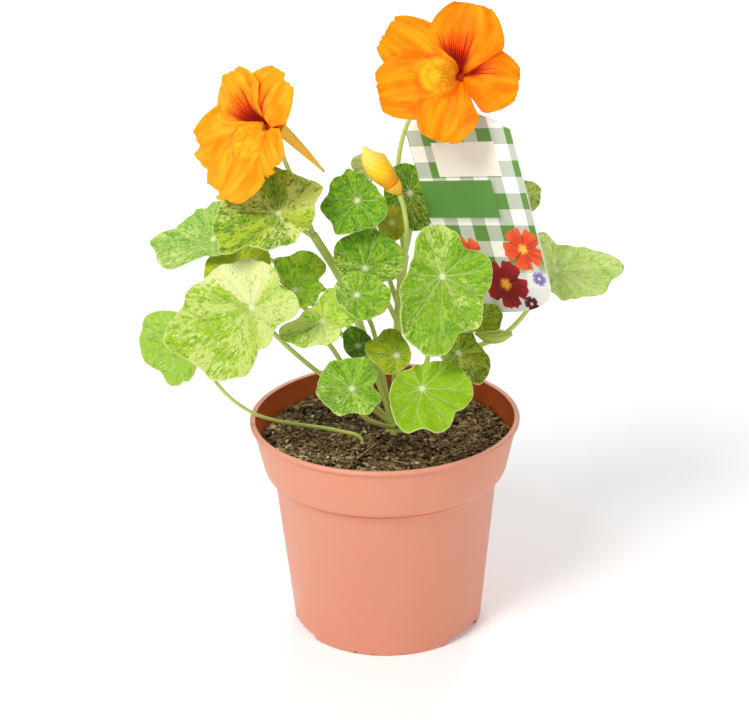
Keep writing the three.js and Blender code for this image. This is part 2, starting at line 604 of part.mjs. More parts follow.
function bladeGeometry(leaf) {
  const furthest = Math.max(...leaf.reach);
  const { segments, rings } = BLADE_DIVISIONS.find(({ upTo }) => furthest <= upTo);
  const points = [new THREE.Vector3()];
  for (const part of rings) {
    for (let i = 0; i < segments; i += 1) {
      const turn = (i / segments) * 2 * Math.PI;
      const reach = part * smoothRing(leaf.reach, i / segments);
      const x = reach * Math.cos(turn);
      const y = reach * Math.sin(turn);
      points.push(new THREE.Vector3(x, y, bladeHeight(leaf, part, turn, x, y)));
    }
  }
  const triangles = [];
  for (let i = 0; i < segments; i += 1) {
    const next = (i + 1) % segments;
    triangles.push([0, 1 + i, 1 + next]);
    for (let ring = 0; ring < rings.length - 1; ring += 1) {
      const inner = 1 + ring * segments;
      const outer = inner + segments;
      triangles.push([inner + i, outer + i, outer + next]);
      triangles.push([inner + i, outer + next, inner + next]);
    }
  }
  return thickened(points, triangles, BLADE_THICKNESS);
}

function makeLeaf(leaf) {
  const mesh = namedMesh(`leaf_${leaf.name}`, bladeGeometry(leaf), leaf.tone);
  mesh.position.set(...leaf.hub);
  mesh.rotation.copy(facingTurn(leaf.face, leaf.lift));
  return mesh;
}

// The petiole's line: along its route, then straight up to the back of the blade at its hub.
function petioleLine(leaf) {
  const normal = new THREE.Vector3(0, 0, 1).applyEuler(facingTurn(leaf.face, leaf.lift));
  const hub = new THREE.Vector3(...leaf.hub);
  const approach = hub.clone().addScaledVector(normal, -PETIOLE_APPROACH);
  const top = hub.clone().addScaledVector(normal, -BLADE_THICKNESS / 2 - GAP);
  return [...PETIOLE_ROUTES[leaf.name], approach.toArray(), top.toArray()];
}

function petiole(leaf) {
  const settings = { radius: PETIOLE_RADIUS, sides: PETIOLE_SIDES, steps: PETIOLE_STEPS };
  return stemAlong(petioleLine(leaf), settings);
}

// ---- Blooms ----

// How far a petal stands over the bloom's face at the point (x, y) of the face, which lies at the given
// distance along the petal and the given place across it.
function petalHeight(petal, boss, { x, y, distance, part, across }) {
  const throat = -THROAT_DEPTH * Math.exp(-(distance - THROAT_RADIUS) / THROAT_FLARE);
  const curl = petal.curl * (distance / petal.length) ** 3;
  const ruffle = petal.ruffle * part * part * Math.sin(PETAL_WAVES * across + petal.angle);
  const height = throat - curl + ruffle + petal.over * part;
  if (petal.upper) {
    return height;
  }
  const offBoss = Math.hypot(x - boss[0], y - boss[1]) / BOSS_RADIUS;
  return height + BOSS_HEIGHT * Math.exp(-offBoss * offBoss);
}

// A petal's half width, from a narrow claw to a broad blade that rounds off at its tip.
function petalHalfWidth(part, petal) {
  const claw = petal.upper ? UPPER_CLAW : LOWER_CLAW;
  const opening = (part / PETAL_WIDEST) ** petal.claw;
  const rounding = Math.sqrt(1 - ((part - PETAL_WIDEST) / (PETAL_END - PETAL_WIDEST)) ** 2);
  const blade = part < PETAL_WIDEST ? opening : rounding;
  return claw + (petal.width / 2 - claw) * blade;
}

function petalGeometry(petal, boss) {
  const along = new THREE.Vector2(Math.cos(radians(petal.angle)), Math.sin(radians(petal.angle)));
  const points = [];
  for (let row = 0; row <= PETAL_ROWS; row += 1) {
    const part = row / PETAL_ROWS;
    const distance = THREE.MathUtils.lerp(THROAT_RADIUS, petal.length, part ** PETAL_ROW_SPACING);
    for (let column = 0; column <= PETAL_COLUMNS; column += 1) {
      const across = (2 * column) / PETAL_COLUMNS - 1;
      const side = across * petalHalfWidth(part, petal);
      const bow = distance - (part * side * side) / (PETAL_BOW * petal.length);
      const x = bow * along.x - side * along.y;
      const y = bow * along.y + side * along.x;
      points.push(new THREE.Vector3(x, y, petalHeight(petal, boss, { x, y, distance, part, across })));
    }
  }
  const triangles = [];
  const columns = PETAL_COLUMNS + 1;
  for (let row = 0; row < PETAL_ROWS; row += 1) {
    for (let column = 0; column < PETAL_COLUMNS; column += 1) {
      const corner = row * columns + column;
      triangles.push([corner, corner + columns, corner + columns + 1]);
      triangles.push([corner, corner + columns + 1, corner + 1]);
    }
  }
  return thickened(points, triangles, PETAL_THICKNESS);
}

// The petals of one bloom, held together by the ring that their claws grow from.
function petalsGeometry(bloom) {
  const outer = THROAT_RADIUS + THROAT_RING_WALL;
  const ring = new THREE.CylinderGeometry(outer, THROAT_RADIUS, THROAT_RING_HEIGHT, THROAT_SIDES);
  ring.rotateX(Math.PI / 2);
  ring.translate(0, 0, -THROAT_DEPTH + THROAT_RING_WALL);
  const petals = bloom.petals.map((petal) => petalGeometry(petal, bloom.boss));
  return geometryOf(joined([ring, ...petals]));
}

// One pointed sepal, which stands behind the petals.
function sepalGeometry(angle) {
  const points = [];
  for (let row = 0; row <= SEPAL_ROWS; row += 1) {
    const part = row / SEPAL_ROWS;
    const distance = SEPAL_SEAT + part * SEPAL_LENGTH;
    const half = (SEPAL_WIDTH / 2) * Math.cos(radians(SEPAL_TAPER) * part ** SEPAL_SHARPNESS);
    const height = SEPAL_RISE * Math.sin(part * radians(90)) - SEPAL_DROP - THROAT_DEPTH;
    for (const across of [-1, 0, 1]) {
      points.push(new THREE.Vector3(distance, across * half, height));
    }
  }
  const triangles = [];
  for (let row = 0; row < SEPAL_ROWS; row += 1) {
    for (const column of [0, 1]) {
      const corner = row * 3 + column;
      triangles.push([corner, corner + 3, corner + 4]);
      triangles.push([corner, corner + 4, corner + 1]);
    }
  }
  return thickened(points, triangles, PETAL_THICKNESS).rotateZ(radians(angle));
}

// The calyx: a cup under the throat, five sepals and the nectar spur.
function calyxGeometry(bloom) {
  const inner = THROAT_RADIUS + THROAT_RING_WALL + 2 * GAP;
  const floor = -THROAT_DEPTH - THROAT_RING_HEIGHT / 2 + THROAT_RING_WALL - GAP;
  const cup = turned([
    [0, floor - CUP_DEPTH],
    [SPUR_RADII[0], floor - CUP_DEPTH + CUP_DISH],
    [inner + CALYX_WALL, floor],
    [inner + CALYX_WALL, floor + CUP_RIM],
    [inner, floor + CUP_RIM],
    [inner, floor],
    [0, floor],
  ], THROAT_SIDES);
  const spurLine = bloom.spur.map(([x, y, depth]) => [x, y, -THROAT_DEPTH - depth]);
  const spur = taperedAlong(spurLine, SPUR_RADII, { sides: SPUR_SIDES, steps: SPUR_STEPS });
  const sepals = [];
  for (let i = 0; i < SEPAL_COUNT; i += 1) {
    sepals.push(sepalGeometry(bloom.petals[0].angle + SEPAL_TURN + (i * 360) / SEPAL_COUNT));
  }
  return geometryOf(joined([cup, spur, ...sepals]));
}

function makeBloom(bloom) {
  const group = new THREE.Group();
  group.add(namedMesh(`${bloom.name}_petals`, petalsGeometry(bloom), 'petal'));
  group.add(namedMesh(`${bloom.name}_calyx`, calyxGeometry(bloom), 'calyx'));
  group.position.set(...bloom.centre);
  group.rotation.copy(facingTurn(bloom.face, bloom.lift));
  return group;
}

// A flower stalk ends on the back of the calyx, clear of its spur.
function stalk(bloom) {
  const top = new THREE.Vector3(...bloom.stalkSeat, -THROAT_DEPTH - CUP_DEPTH - STALK_GAP);
  top.applyEuler(facingTurn(bloom.face, bloom.lift)).add(new THREE.Vector3(...bloom.centre));
  const settings = { radius: PETIOLE_RADIUS, sides: PETIOLE_SIDES, steps: STEM_STEPS };
  return stemAlong([...bloom.stalk, top.toArray()], settings);
}

// ---- Stems ----

function makeStems() {
  const crown = turned([
    [0, CROWN_FOOT],
    [CROWN_FOOT_RADIUS, CROWN_FOOT],
    [CROWN_RADIUS, CROWN_LOW],
    [CROWN_RADIUS, CROWN_HIGH],
    [CROWN_TOP_RADIUS, CROWN_TOP],
    [0, CROWN_TOP],
  ], CROWN_SIDES).translate(CROWN[0], CROWN[1], 0);
  const leafy = { radius: STEM_RADIUS, sides: STEM_SIDES, steps: STEM_STEPS };
  const thin = { radius: PETIOLE_RADIUS, sides: PETIOLE_SIDES };
  const mainStems = Object.values(STEMS).map((line) => stemAlong(line, leafy));
  const petioles = LEAVES.filter((leaf) => leaf.name !== 'left_low').map(petiole);
  const budStalk = stemAlong(BUD_STALK, { ...thin, steps: 6 });
  const youngStalk = stemAlong(YOUNG_LEAF_STALK, { ...thin, steps: 5 });
  const pieces = [crown, ...mainStems, ...petioles, ...BLOOMS.map(stalk), budStalk, youngStalk];
  return namedMesh('stems', geometryOf(joined(pieces)), 'stem');
}

// The lowest leaf on the left stands on a petiole of its own, straight from the soil.
function makeTrailingPetiole() {
  const leaf = LEAVES.find(({ name }) => name === 'left_low');
  const line = stemAlong(petioleLine(leaf), { radius: PETIOLE_RADIUS, sides: PETIOLE_SIDES, steps: 14 });
  return namedMesh('stem_left_low', line, 'stem');
}

// ---- Bud and young leaf ----

function makeBud() {
  const petals = taperedAlong(BUD_LINE, BUD_RADII, { sides: 10, steps: 8 });
  const calyx = taperedAlong(BUD_CALYX_LINE, BUD_CALYX_RADII, { sides: 8, steps: 4 });
  return [namedMesh('bud_petals', petals, 'bud'), namedMesh('bud_calyx', calyx, 'calyx')];
}

function makeYoungLeaf() {
  const rolled = taperedAlong(YOUNG_LEAF_LINE, YOUNG_LEAF_RADII, { sides: 8, steps: 8 });
  return namedMesh('young_leaf', rolled, 'leafMid');
}

// ---- The whole plant ----

const plant = new THREE.Group();
const label = makeLabel();
plant.add(makePot(), makeSoil(label), label, makeStems(), makeTrailingPetiole());
for (const leaf of LEAVES) {
  plant.add(makeLeaf(leaf));
}
for (const bloom of BLOOMS) {
  plant.add(makeBloom(bloom));
}
plant.add(...makeBud(), makeYoungLeaf());

export default plant;
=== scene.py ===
import functools
import math
import random

import bmesh
import bpy
from mathutils import Matrix, Vector, noise


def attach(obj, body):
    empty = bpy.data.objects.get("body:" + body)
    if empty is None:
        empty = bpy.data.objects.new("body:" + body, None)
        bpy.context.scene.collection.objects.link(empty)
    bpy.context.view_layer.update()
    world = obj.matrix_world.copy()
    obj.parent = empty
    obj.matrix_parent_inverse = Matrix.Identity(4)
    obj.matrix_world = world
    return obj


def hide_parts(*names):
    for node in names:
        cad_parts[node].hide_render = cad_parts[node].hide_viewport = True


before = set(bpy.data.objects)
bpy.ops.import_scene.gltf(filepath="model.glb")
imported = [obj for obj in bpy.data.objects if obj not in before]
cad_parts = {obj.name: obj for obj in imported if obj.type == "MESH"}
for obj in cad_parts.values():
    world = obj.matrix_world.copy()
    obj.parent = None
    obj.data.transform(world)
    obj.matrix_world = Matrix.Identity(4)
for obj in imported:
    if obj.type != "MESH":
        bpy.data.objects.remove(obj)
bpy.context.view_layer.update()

bl_info = {
    "name": "Potted nasturtium",
    "version": (1, 0, 0),
    "blender": (4, 5, 0),
    "location": "3D View > Sidebar > Nasturtium",
    "description": "Builds a variegated nasturtium in a nursery pot, one kind of piece at a time",
    "category": "Add Mesh",
}

MM = 0.001  # everything is worked out in millimetres and scaled to metres as a piece is finished
GAP = 0.3  # clearance between pieces that touch
BODY = "root"
CURVE_STEPS = 24  # between two points that a curve is given


# ---- Small tools ----

def linear(hex_colour):
    """An sRGB hex colour as the linear colour that shaders and properties take."""
    steps = [int(hex_colour[i:i + 2], 16) / 255 for i in (1, 3, 5)]
    return [s / 12.92 if s <= 0.04045 else ((s + 0.055) / 1.055) ** 2.4 for s in steps] + [1.0]


def add_node(tree, kind, *values, **settings):
    """Adds a node, its operation given after a dot, and returns its first open output.

    The values, or outputs to link, go to the node's open sockets in turn. A setting that starts with
    a capital is a socket's name, with _ for a space, and any other is a property of the node.
    """
    kind, _, operation = kind.partition(".")
    node = tree.nodes.new("ShaderNode" + kind)
    if operation:
        node.operation = operation
    for key in settings:
        if key[0].islower():
            setattr(node, key, settings[key])
    filled = list(zip((socket for socket in node.inputs if socket.enabled), values))
    filled += [(node.inputs[key.replace("_", " ")], settings[key]) for key in settings if key[0].isupper()]
    for socket, value in filled:
        if isinstance(value, bpy.types.NodeSocket):
            tree.links.new(value, socket)
        else:
            socket.default_value = value
    return next((socket for socket in node.outputs if socket.enabled), None)


def start_material(name):
    """A new material, the way to add its nodes, its place on the object, and the piece's marks."""
    material = bpy.data.materials.new(name)
    material.use_nodes = True
    material.node_tree.nodes.clear()
    add = functools.partial(add_node, material.node_tree)
    marks = add("Attribute", attribute_name="marks").node.outputs["Vector"]
    return material, add, add("TexCoord").node.outputs["Object"], marks


def end_material(material, add, colour, roughness, height, bump_mm, **shader):
    """Ends a material in a shader whose relief comes from height, at its real depth."""
    relief = add("Bump", Height=height, Distance=bump_mm * MM, Strength=1)
    add("OutputMaterial", add(
        "BsdfPrincipled", Base_Color=colour, Roughness=roughness, Normal=relief, **shader))
    return material


def painted(add, colour, *coats):
    """A colour under coats of others: each coat is its share, a number or an output, and its colour."""
    for share, coat in coats:
        both = (linear(one) if isinstance(one, str) else one for one in (colour, coat))
        colour = add("Mix", share, *both, data_type="RGBA")
    return colour


def fine_lines(add, across, count, strength):
    """The share of fine lines side by side, count of them to each unit across."""
    lane = add("Math.PINGPONG", add("Math.MULTIPLY", across, count), 0.5)
    return add("MapRange", lane, 0.2, 0, 0, strength)


def start_mesh(mesh=None):
    bm = bmesh.new()
    marks = bm.verts.layers.float_vector.new("marks")
    if mesh:
        bm.from_mesh(mesh)
    return bm, marks


def end_mesh(name, bm):
    mesh = bpy.data.meshes.new(name)
    bm.to_mesh(mesh)
    bm.free()
    return mesh


def shape_grid(bm, marks, columns, rows, place):
    """Adds a grid and shapes it: place(u, v) gives a point in mm and the marks its material reads."""
    grid = bmesh.ops.create_grid(bm, x_segments=columns, y_segments=rows, size=0.5)
    for vert in grid["verts"]:
        vert.co, vert[marks] = place(vert.co.x + 0.5, vert.co.y + 0.5)
    return grid["verts"]


def add_sheet(bm, marks, columns, rows, place):
    """Adds a shaped grid and closes it where its corners meet."""
    verts = shape_grid(bm, marks, columns, rows, place)
    bmesh.ops.remove_doubles(bm, verts=verts, dist=1e-4)


def add_piece(name, bm, materials, replaces, thickness=0.0):
    """Makes the finished piece from a bmesh in mm, and puts it in the place of its CAD nodes."""
    bmesh.ops.scale(bm, vec=(MM, MM, MM), verts=bm.verts)
    mesh = end_mesh(name, bm)
    mesh.shade_smooth()
    piece = bpy.data.objects.new(name, mesh)
    bpy.context.scene.collection.objects.link(piece)
    for material in materials:
        mesh.materials.append(material)
    if thickness:
        wall = piece.modifiers.new("thickness", "SOLIDIFY")
        wall.thickness = thickness * MM
        wall.offset = 0
        wall.material_offset = len(materials) - 1
    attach(piece, BODY)
    if replaces:
        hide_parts(*replaces)
    return piece


def cubic(a, b, c, d, t):
    """The smooth way from b to c, with a before them and d after; t runs from 0 to 1."""
    bend = (2 * a - 5 * b + 4 * c - d) * t ** 2
    return (2 * b + (c - a) * t + bend + (3 * b - a - 3 * c + d) * t ** 3) / 2


def ring_value(values, turn):
    """A value read smoothly from a closed ring of values; turn runs from 0 to 1."""
    place = (turn % 1) * len(values)
    step = math.floor(place)
    return cubic(*(values[(step + shift) % len(values)] for shift in (-1, 0, 1, 2)), place - step)


def smooth_radius(radii, part):
    """A radius read smoothly along a list of them."""
    last = len(radii) - 1
    step = min(int(part * last), last - 1)
    return cubic(*(radii[min(max(step + shift, 0), last)] for shift in (-1, 0, 1, 2)), part * last - step)


def smooth_step(low, high, value):
    t = min(max((value - low) / (high - low), 0), 1)
    return t * t * (3 - 2 * t)


def curve_through(points, count):
    """Evenly spaced points on the smooth curve through the given ones (centripetal Catmull-Rom)."""
    points = [Vector(point) for point in points]
    ends = [points[0] * 2 - points[1]] + points + [points[-1] * 2 - points[-2]]
    dense = []
    for a, b, c, d in zip(ends, ends[1:], ends[2:], ends[3:]):
        before, along, after = (max((q - p).length, 1e-4) ** 0.5 for p, q in ((a, b), (b, c), (c, d)))
        start = ((b - a) / before - (c - a) / (before + along) + (c - b) / along) * along
        end = ((c - b) / along - (d - b) / (along + after) + (d - c) / after) * along
        for i in range(CURVE_STEPS):
            t = i / CURVE_STEPS
            dense.append(b + start * t + (3 * (c - b) - 2 * start - end) * t ** 2
                         + (2 * (b - c) + start + end) * t ** 3)
    dense.append(points[-1])
    lengths = [0.0]
    for p, q in zip(dense, dense[1:]):
        lengths.append(lengths[-1] + (q - p).length)
    line = []
    step = 0
    for i in range(count + 1):
        reach = lengths[-1] * i / count
        while step < len(dense) - 2 and lengths[step + 1] < reach:
            step += 1
        share = (reach - lengths[step]) / max(lengths[step + 1] - lengths[step], 1e-9)
        line.append(dense[step].lerp(dense[step + 1], min(share, 1)))
    return line


def add_tube(bm, marks, points, radius, sides, steps, seed=0.0):
    """Adds a closed tube along a curve; radius(part, turn) gives its radius in mm."""
    line = curve_through(points, steps)
    across = [(line[1] - line[0]).normalized().orthogonal().normalized()]
    ahead = []
    for i, point in enumerate(line):
        way = (line[min(i + 1, steps)] - line[max(i - 1, 0)]).normalized()
        ahead.append(way)
        last = across[-1]
        across.append((last - way * last.dot(way)).normalized())

    def place(u, v):
        row = round(v * (steps + 2))
        step = min(max(row - 1, 0), steps)
        part = step / steps
        turn = u * math.tau
        side = across[step + 1]
        outward = side * math.cos(turn) + ahead[step].cross(side) * math.sin(turn)
        size = 0 if row in (0, steps + 2) else radius(part, turn)
        return line[step] + outward * size, (u % 1, part, seed)

    add_sheet(bm, marks, sides, steps + 2, place)


def spun_body(bm, profile, steps):
    """Turns a profile of (radius, height) points, whose ends lie on the axis, into a closed body."""
    verts = [bm.verts.new((radius, 0, height)) for radius, height in profile]
    edges = [bm.edges.new(pair) for pair in zip(verts, verts[1:])]
    bmesh.ops.spin(bm, geom=verts + edges, cent=(0, 0, 0), axis=(0, 0, 1), dvec=(0, 0, 0),
                   angle=math.tau, steps=steps, use_merge=True)
    bmesh.ops.remove_doubles(bm, verts=bm.verts, dist=1e-3)
    bmesh.ops.recalc_face_normals(bm, faces=bm.faces)


def facing(centre, face, lift):
    """The place of a blade or bloom: its +Z looks to face and lift, in degrees."""
    turn = Matrix.Rotation(math.radians(face), 4, "Z") @ Matrix.Rotation(math.radians(90 - lift), 4, "X")
    return Matrix.Translation(centre) @ turn


# ---- What a user would change ----

def length(name, description, mm):
    """A length that a user can change, given in mm."""
    return bpy.props.FloatProperty(
        name=name, description=description, default=mm * MM, unit="LENGTH", subtype="DISTANCE")


def tint(name, description, hex_colour):
    """A colour that a user can change."""
    return bpy.props.FloatVectorProperty(
        name=name, description=description, default=linear(hex_colour), size=4, min=0, max=1,
        subtype="COLOR")


class PotSettings(bpy.types.PropertyGroup):
    height: length("Height", "Height of the pot", 107)
    rim_radius: length("Rim radius", "Outer radius of the lip", 65)
    base_radius: length("Base radius", "Outer radius of the foot", 46.3)
    wall: length("Wall", "Thickness of the side", 1.5)
    colour: tint("Colour", "Colour of the plastic", "#D98A6C")


class SoilSettings(bpy.types.PropertyGroup):
    top: length("Top", "Height of the soil's surface", 96.5)
    crumbs: bpy.props.IntProperty(
        name="Crumbs", description="How many loose crumbs lie on the soil", default=4200, min=0)
    colour: tint("Colour", "Colour of the moist peat", "#745B38")


class StemSettings(bpy.types.PropertyGroup):
    stem_radius: length("Stem radius", "Radius of the main stems", 2.1)
    petiole_radius: length("Petiole radius", "Radius of the leaf and flower stalks", 1.15)
    colour: tint("Colour", "Colour of the stems", "#DCE688")


class LeafSettings(bpy.types.PropertyGroup):
    thickness: length("Thickness", "Thickness of a leaf blade", 0.5)
    vein_colour: tint("Veins", "Colour of the veins", "#D6E496")


class BloomSettings(bpy.types.PropertyGroup):
    thickness: length("Thickness", "Thickness of a petal", 0.4)
    colour: tint("Petals", "Main colour of the petals", "#FF9804")
    throat_colour: tint("Throat", "Colour of the lines in the throat", "#7C0A06")


class LabelSettings(bpy.types.PropertyGroup):
    width: length("Width", "Width of the label", 60)
    check: length("Check", "Width of one stripe of the gingham", 8)
    green: tint("Green", "Colour of the gingham", "#5A8A32")


class StageSettings(bpy.types.PropertyGroup):
    key_power: bpy.props.FloatProperty(
        name="Key light", description="Power of the main light", default=18.5, subtype="POWER")
    sky: bpy.props.FloatProperty(
        name="Sky", description="Brightness of the light from all round", default=0.41, min=0)


# ---- Pot ----

COLLAR_BOTTOM = 78.5
COLLAR_LOW_RADIUS = 58.9
COLLAR_TOP_RADIUS = 63.8
BODY_TOP_RADIUS = 54.2
LIP_DEPTH = 2.2
POT_STEPS = 192  # round the pot
DRAIN_ANGLES = (-36, 84, 204)
DRAIN_WIDTH = 24
DRAIN_HEIGHT = 3.4
DRAIN_INNER_RADIUS = 33
DRAIN_PAST_BASE = 4  # how far a drain's tool stands out of the foot
SHARP_EDGE = 50  # degrees over which an edge of the pot looks sharp


def pot_side(pot):
    """The outer line of the side, from the base up to the lip, as (radius, height) in mm."""
    base, height = pot.base_radius / MM, pot.height / MM
    return [
        (base - 1.2, 0), (base - 0.4, 0.35), (base, 1.2), (BODY_TOP_RADIUS - 0.2, COLLAR_BOTTOM - 1.5),
        (BODY_TOP_RADIUS + 0.3, COLLAR_BOTTOM - 0.3), (BODY_TOP_RADIUS + 1.2, COLLAR_BOTTOM + 0.5),
        (BODY_TOP_RADIUS + 2.8, COLLAR_BOTTOM + 1.7), (COLLAR_LOW_RADIUS - 0.8, COLLAR_BOTTOM + 2.7),
        (COLLAR_LOW_RADIUS, COLLAR_BOTTOM + 4.4), (COLLAR_LOW_RADIUS + 1.7, COLLAR_BOTTOM + 12),
        (COLLAR_TOP_RADIUS - 1, COLLAR_BOTTOM + 22), (COLLAR_TOP_RADIUS, height - LIP_DEPTH),
    ]


def inner_side(pot, inset):
    """The line of the side a distance inside its outer face; the step is raised by the wall."""
    wall = pot.wall / MM
    line = []
    for radius, height in pot_side(pot)[2:]:
        on_step = COLLAR_BOTTOM - 2 < height < COLLAR_BOTTOM + 5
        line.append((radius - inset, height + (wall if on_step else 0)))
    return line


def drain_tool(pot, angle, grow):
    """The box that one drain takes, grown by a distance."""
    length_out = pot.base_radius / MM + DRAIN_PAST_BASE - DRAIN_INNER_RADIUS
    size = (length_out, DRAIN_WIDTH + 2 * grow, 2 * (DRAIN_HEIGHT + grow))
    turn = Matrix.Rotation(math.radians(angle), 4, "Z")
    place = turn @ Matrix.Translation((DRAIN_INNER_RADIUS - grow + length_out / 2, 0, 0))
    bm, _ = start_mesh()
    bmesh.ops.create_cube(bm, size=1)
    bmesh.ops.scale(bm, vec=size, verts=bm.verts)
    bmesh.ops.transform(bm, matrix=place, verts=bm.verts)
    return end_mesh("drain", bm)


def carve(mesh, tool_mesh, operation):
    """The mesh after another is cut from it, joined to it, or kept only where both are."""
    body = bpy.data.objects.new("carved", mesh)
    tool = bpy.data.objects.new("tool", tool_mesh)
    for thing in (body, tool):
        bpy.context.scene.collection.objects.link(thing)
    cut = body.modifiers.new("cut", "BOOLEAN")
    cut.operation = operation
    cut.object = tool
    cut.solver = "EXACT"
    bpy.context.view_layer.update()
    shaped = body.evaluated_get(bpy.context.evaluated_depsgraph_get())
    result = bpy.data.meshes.new_from_object(shaped)
    for thing in (body, tool):
        bpy.data.objects.remove(thing)
    return result


def profile_mesh(profile):
    bm, _ = start_mesh()
    spun_body(bm, profile, POT_STEPS)
    return end_mesh("profile", bm)


def moulded_plastic(pot):
    """Moulded polypropylene: satin, with faint flow marks, painted shade inside, a paler lip top and peat on
    the foot.
    """
    material, add, place, _ = start_material("moulded_polypropylene")
    height = add("SeparateXYZ", place).node.outputs["Z"]
    clouds = add("TexNoise", place, 22, 3)
    flow = painted(add, list(pot.colour), (0.5, "#E2997C"))
    # Painted shade: the inner wall is painted darker and a deeper orange, for the shade and the orange light
    # bounced inside the pot.
    outward = add("VectorMath.DOT_PRODUCT", add("NewGeometry").node.outputs["Normal"], place)
    inside = add("MapRange", outward, -0.004, -0.03, 0, 0.95)
    # Painted highlight and wear: the top of the lip is painted paler, partly for the light it catches and
    # partly as rubbed wear.
    lip_highlight_and_wear = add("MapRange", height, 0.1062, 0.107, 0, 0.6)
    # Crumbs of peat stick to the foot.
    low = add("MapRange", height, 0.0028, 0, 0, 0.28)
    dirt = add("Math.ADD", add("TexNoise", place, 330, 2), low)
    dirt = add("MapRange", dirt, 0.82, 0.88, 0, 0.9)
    colour = painted(add, list(pot.colour), (clouds, flow), (inside, "#C8561C"), (lip_highlight_and_wear, "#F0A98E"),
                     (dirt, "#4A2C1E"))
    roughness = add("MapRange", clouds, 0.3, 0.7, 0.36, 0.5)
    # Spark-eroded grain of the mould, about 0.25 mm.
    return end_material(material, add, colour, roughness, add("TexNoise", place, 2500, 1), 0.02)


class PLANT_OT_pot(bpy.types.Operator):
    """Makes the pot, with its wide collar, rounded lip and three drains in the foot"""
    bl_idname = "nasturtium.pot"
    bl_label = "Pot"

    def execute(self, context):
        pot = context.scene.nasturtium_pot
        wall, height, rim, base = (
            value / MM for value in (pot.wall, pot.height, pot.rim_radius, pot.base_radius))
        lip = [
            (rim - 0.25, height - LIP_DEPTH + 0.25), (rim, height - LIP_DEPTH + 0.6), (rim, height - 0.7),
            (rim - 0.25, height - 0.2), (rim - 0.8, height), (rim - 1.5, height),
            (COLLAR_TOP_RADIUS - wall + 0.2, height - 0.2), (COLLAR_TOP_RADIUS - wall, height - 0.7),
        ]
        floor = [(base - wall, wall + 0.8), (base - wall - 0.8, wall), (0, wall)]
        inner = reversed(inner_side(pot, wall)[1:])
        shell = profile_mesh([(0, 0), *pot_side(pot), *lip, *inner, *floor])
        cavity = profile_mesh([(0, wall / 2), *inner_side(pot, wall / 2), (0, height)])
        for angle in DRAIN_ANGLES:
            housing = carve(drain_tool(pot, angle, wall), cavity.copy(), "INTERSECT")
            shell = carve(shell, housing, "UNION")
            shell = carve(shell, drain_tool(pot, angle, 0), "DIFFERENCE")
        bm, _ = start_mesh(shell)
        piece = add_piece("pot_shell", bm, [moulded_plastic(pot)], ["pot"])
        piece.data.set_sharp_from_angle(angle=math.radians(SHARP_EDGE))
        return {"FINISHED"}


# ---- Soil ----

SOIL_SEED = 11
SOIL_LEVEL = 96.5
SOIL_REACH = 58.5  # from the pot's axis, of what lies on the soil
GRIT_REACH = 57.5
SOIL_RINGS = 64
SOIL_STEPS = 200
ANY_TURN = 6.28  # radians, of a crumb about the vertical
GRIT_COUNT = 130
FIBRE_COUNT = 420
# Lone bits of twig, straw and root: both ends, and the radius.
STRAWS = (
    ((-13.5, -31, 98.2), (-3.5, -17, 99.6), 0.75), ((3, -33.5, 98.6), (11, -39, 98.8), 0.3),
    ((57, 6, 98.2), (60.2, -2, 98.8), 0.3), ((56, -4, 98.4), (58.6, 3, 99.2), 0.22),
    ((30, -33, 98), (40, -28, 98.5), 0.3), ((-30, -40, 98), (-22, -46, 98.2), 0.3),
    ((-46, -26, 98.2), (-40, -32, 98.4), 0.25), ((20, -50, 98.2), (27, -47, 98.2), 0.35),
)


def soil_height(x, y):
    """The height of the soil's lumpy surface over its level, in mm."""
    place = Vector((x, y, 3.0))
    lumps = noise.fractal(place * 0.11, 0.8, 2.2, 3) * 0.9
    crumbs = noise.cell(place * 0.42) * 0.5 + noise.noise(place * 0.65) * 0.7
    return lumps + crumbs


def moist_peat(soil):
    """Moist peat substrate: brown fibrous crumbs of a few millimetres, paler where dry."""
    material, add, place, _ = start_material("moist_peat")
    crumbs = add("TexNoise", place, 600, 5, 0.75)
    damp = add("MapRange", crumbs, 0.36, 0.52)
    fibrous = add("MapRange", crumbs, 0.5, 0.68, 0, 0.9)
    dry = add("MapRange", add("TexNoise", place, 70, 2), 0.5, 0.75, 0, 0.4)
    colour = painted(add, "#261A0D", (damp, list(soil.colour)), (fibrous, "#BCA070"), (dry, "#A08458"))
    relief = add("Math.SUBTRACT", crumbs, add("TexVoronoi", place, 520))
    return end_material(material, add, colour, 0.9, relief, 1.2, Specular_IOR_Level=0.15)


def loose_stuff(name, dark, pale, roughness):
    """Small loose things on the soil: their colour differs from one to the next and is mottled."""
    material, add, place, marks = start_material(name)
    mottle = add("TexNoise", place, 1100, 3)
    share = add("Math.MULTIPLY", mottle, add("SeparateXYZ", marks))
    colour = painted(add, dark, (add("MapRange", share, 0.05, 0.6), pale))
    return end_material(material, add, colour, roughness, mottle, 0.5, Specular_IOR_Level=0.2)


def add_crumbs(bm, marks, draw, count, size_range, area, longest):
    """Scatters ragged crumbs; area(draw) gives a place (x, y) on the soil."""
    small, large = size_range
    for _ in range(count):
        x, y = area(draw)
        size = small + (large - small) * draw.random() ** 2
        turn = Matrix.Rotation(draw.uniform(0, ANY_TURN), 4, "Z")
        turn = turn @ Matrix.Rotation(draw.gauss(0, 0.4), 4, "X")
        ball = bmesh.ops.create_icosphere(bm, subdivisions=1, radius=size)
        tone = draw.random()
        spread = Matrix.Diagonal((draw.uniform(1, longest), draw.uniform(0.5, 1), draw.uniform(0.4, 0.8), 1))
        centre = Vector((x, y, SOIL_LEVEL + soil_height(x, y) + size * 0.1))
        for vert in ball["verts"]:
            dent = 1 + 0.7 * noise.noise(vert.co * (1.6 / size) + centre)
            vert.co = Matrix.Translation(centre) @ turn @ spread @ (vert.co * dent)
            vert[marks] = (tone, 0, 0)


def over_soil(draw):
    while True:
        x, y = draw.uniform(-60, 60), draw.uniform(-60, 60)
        if math.hypot(x, y) < SOIL_REACH:
            return x, y


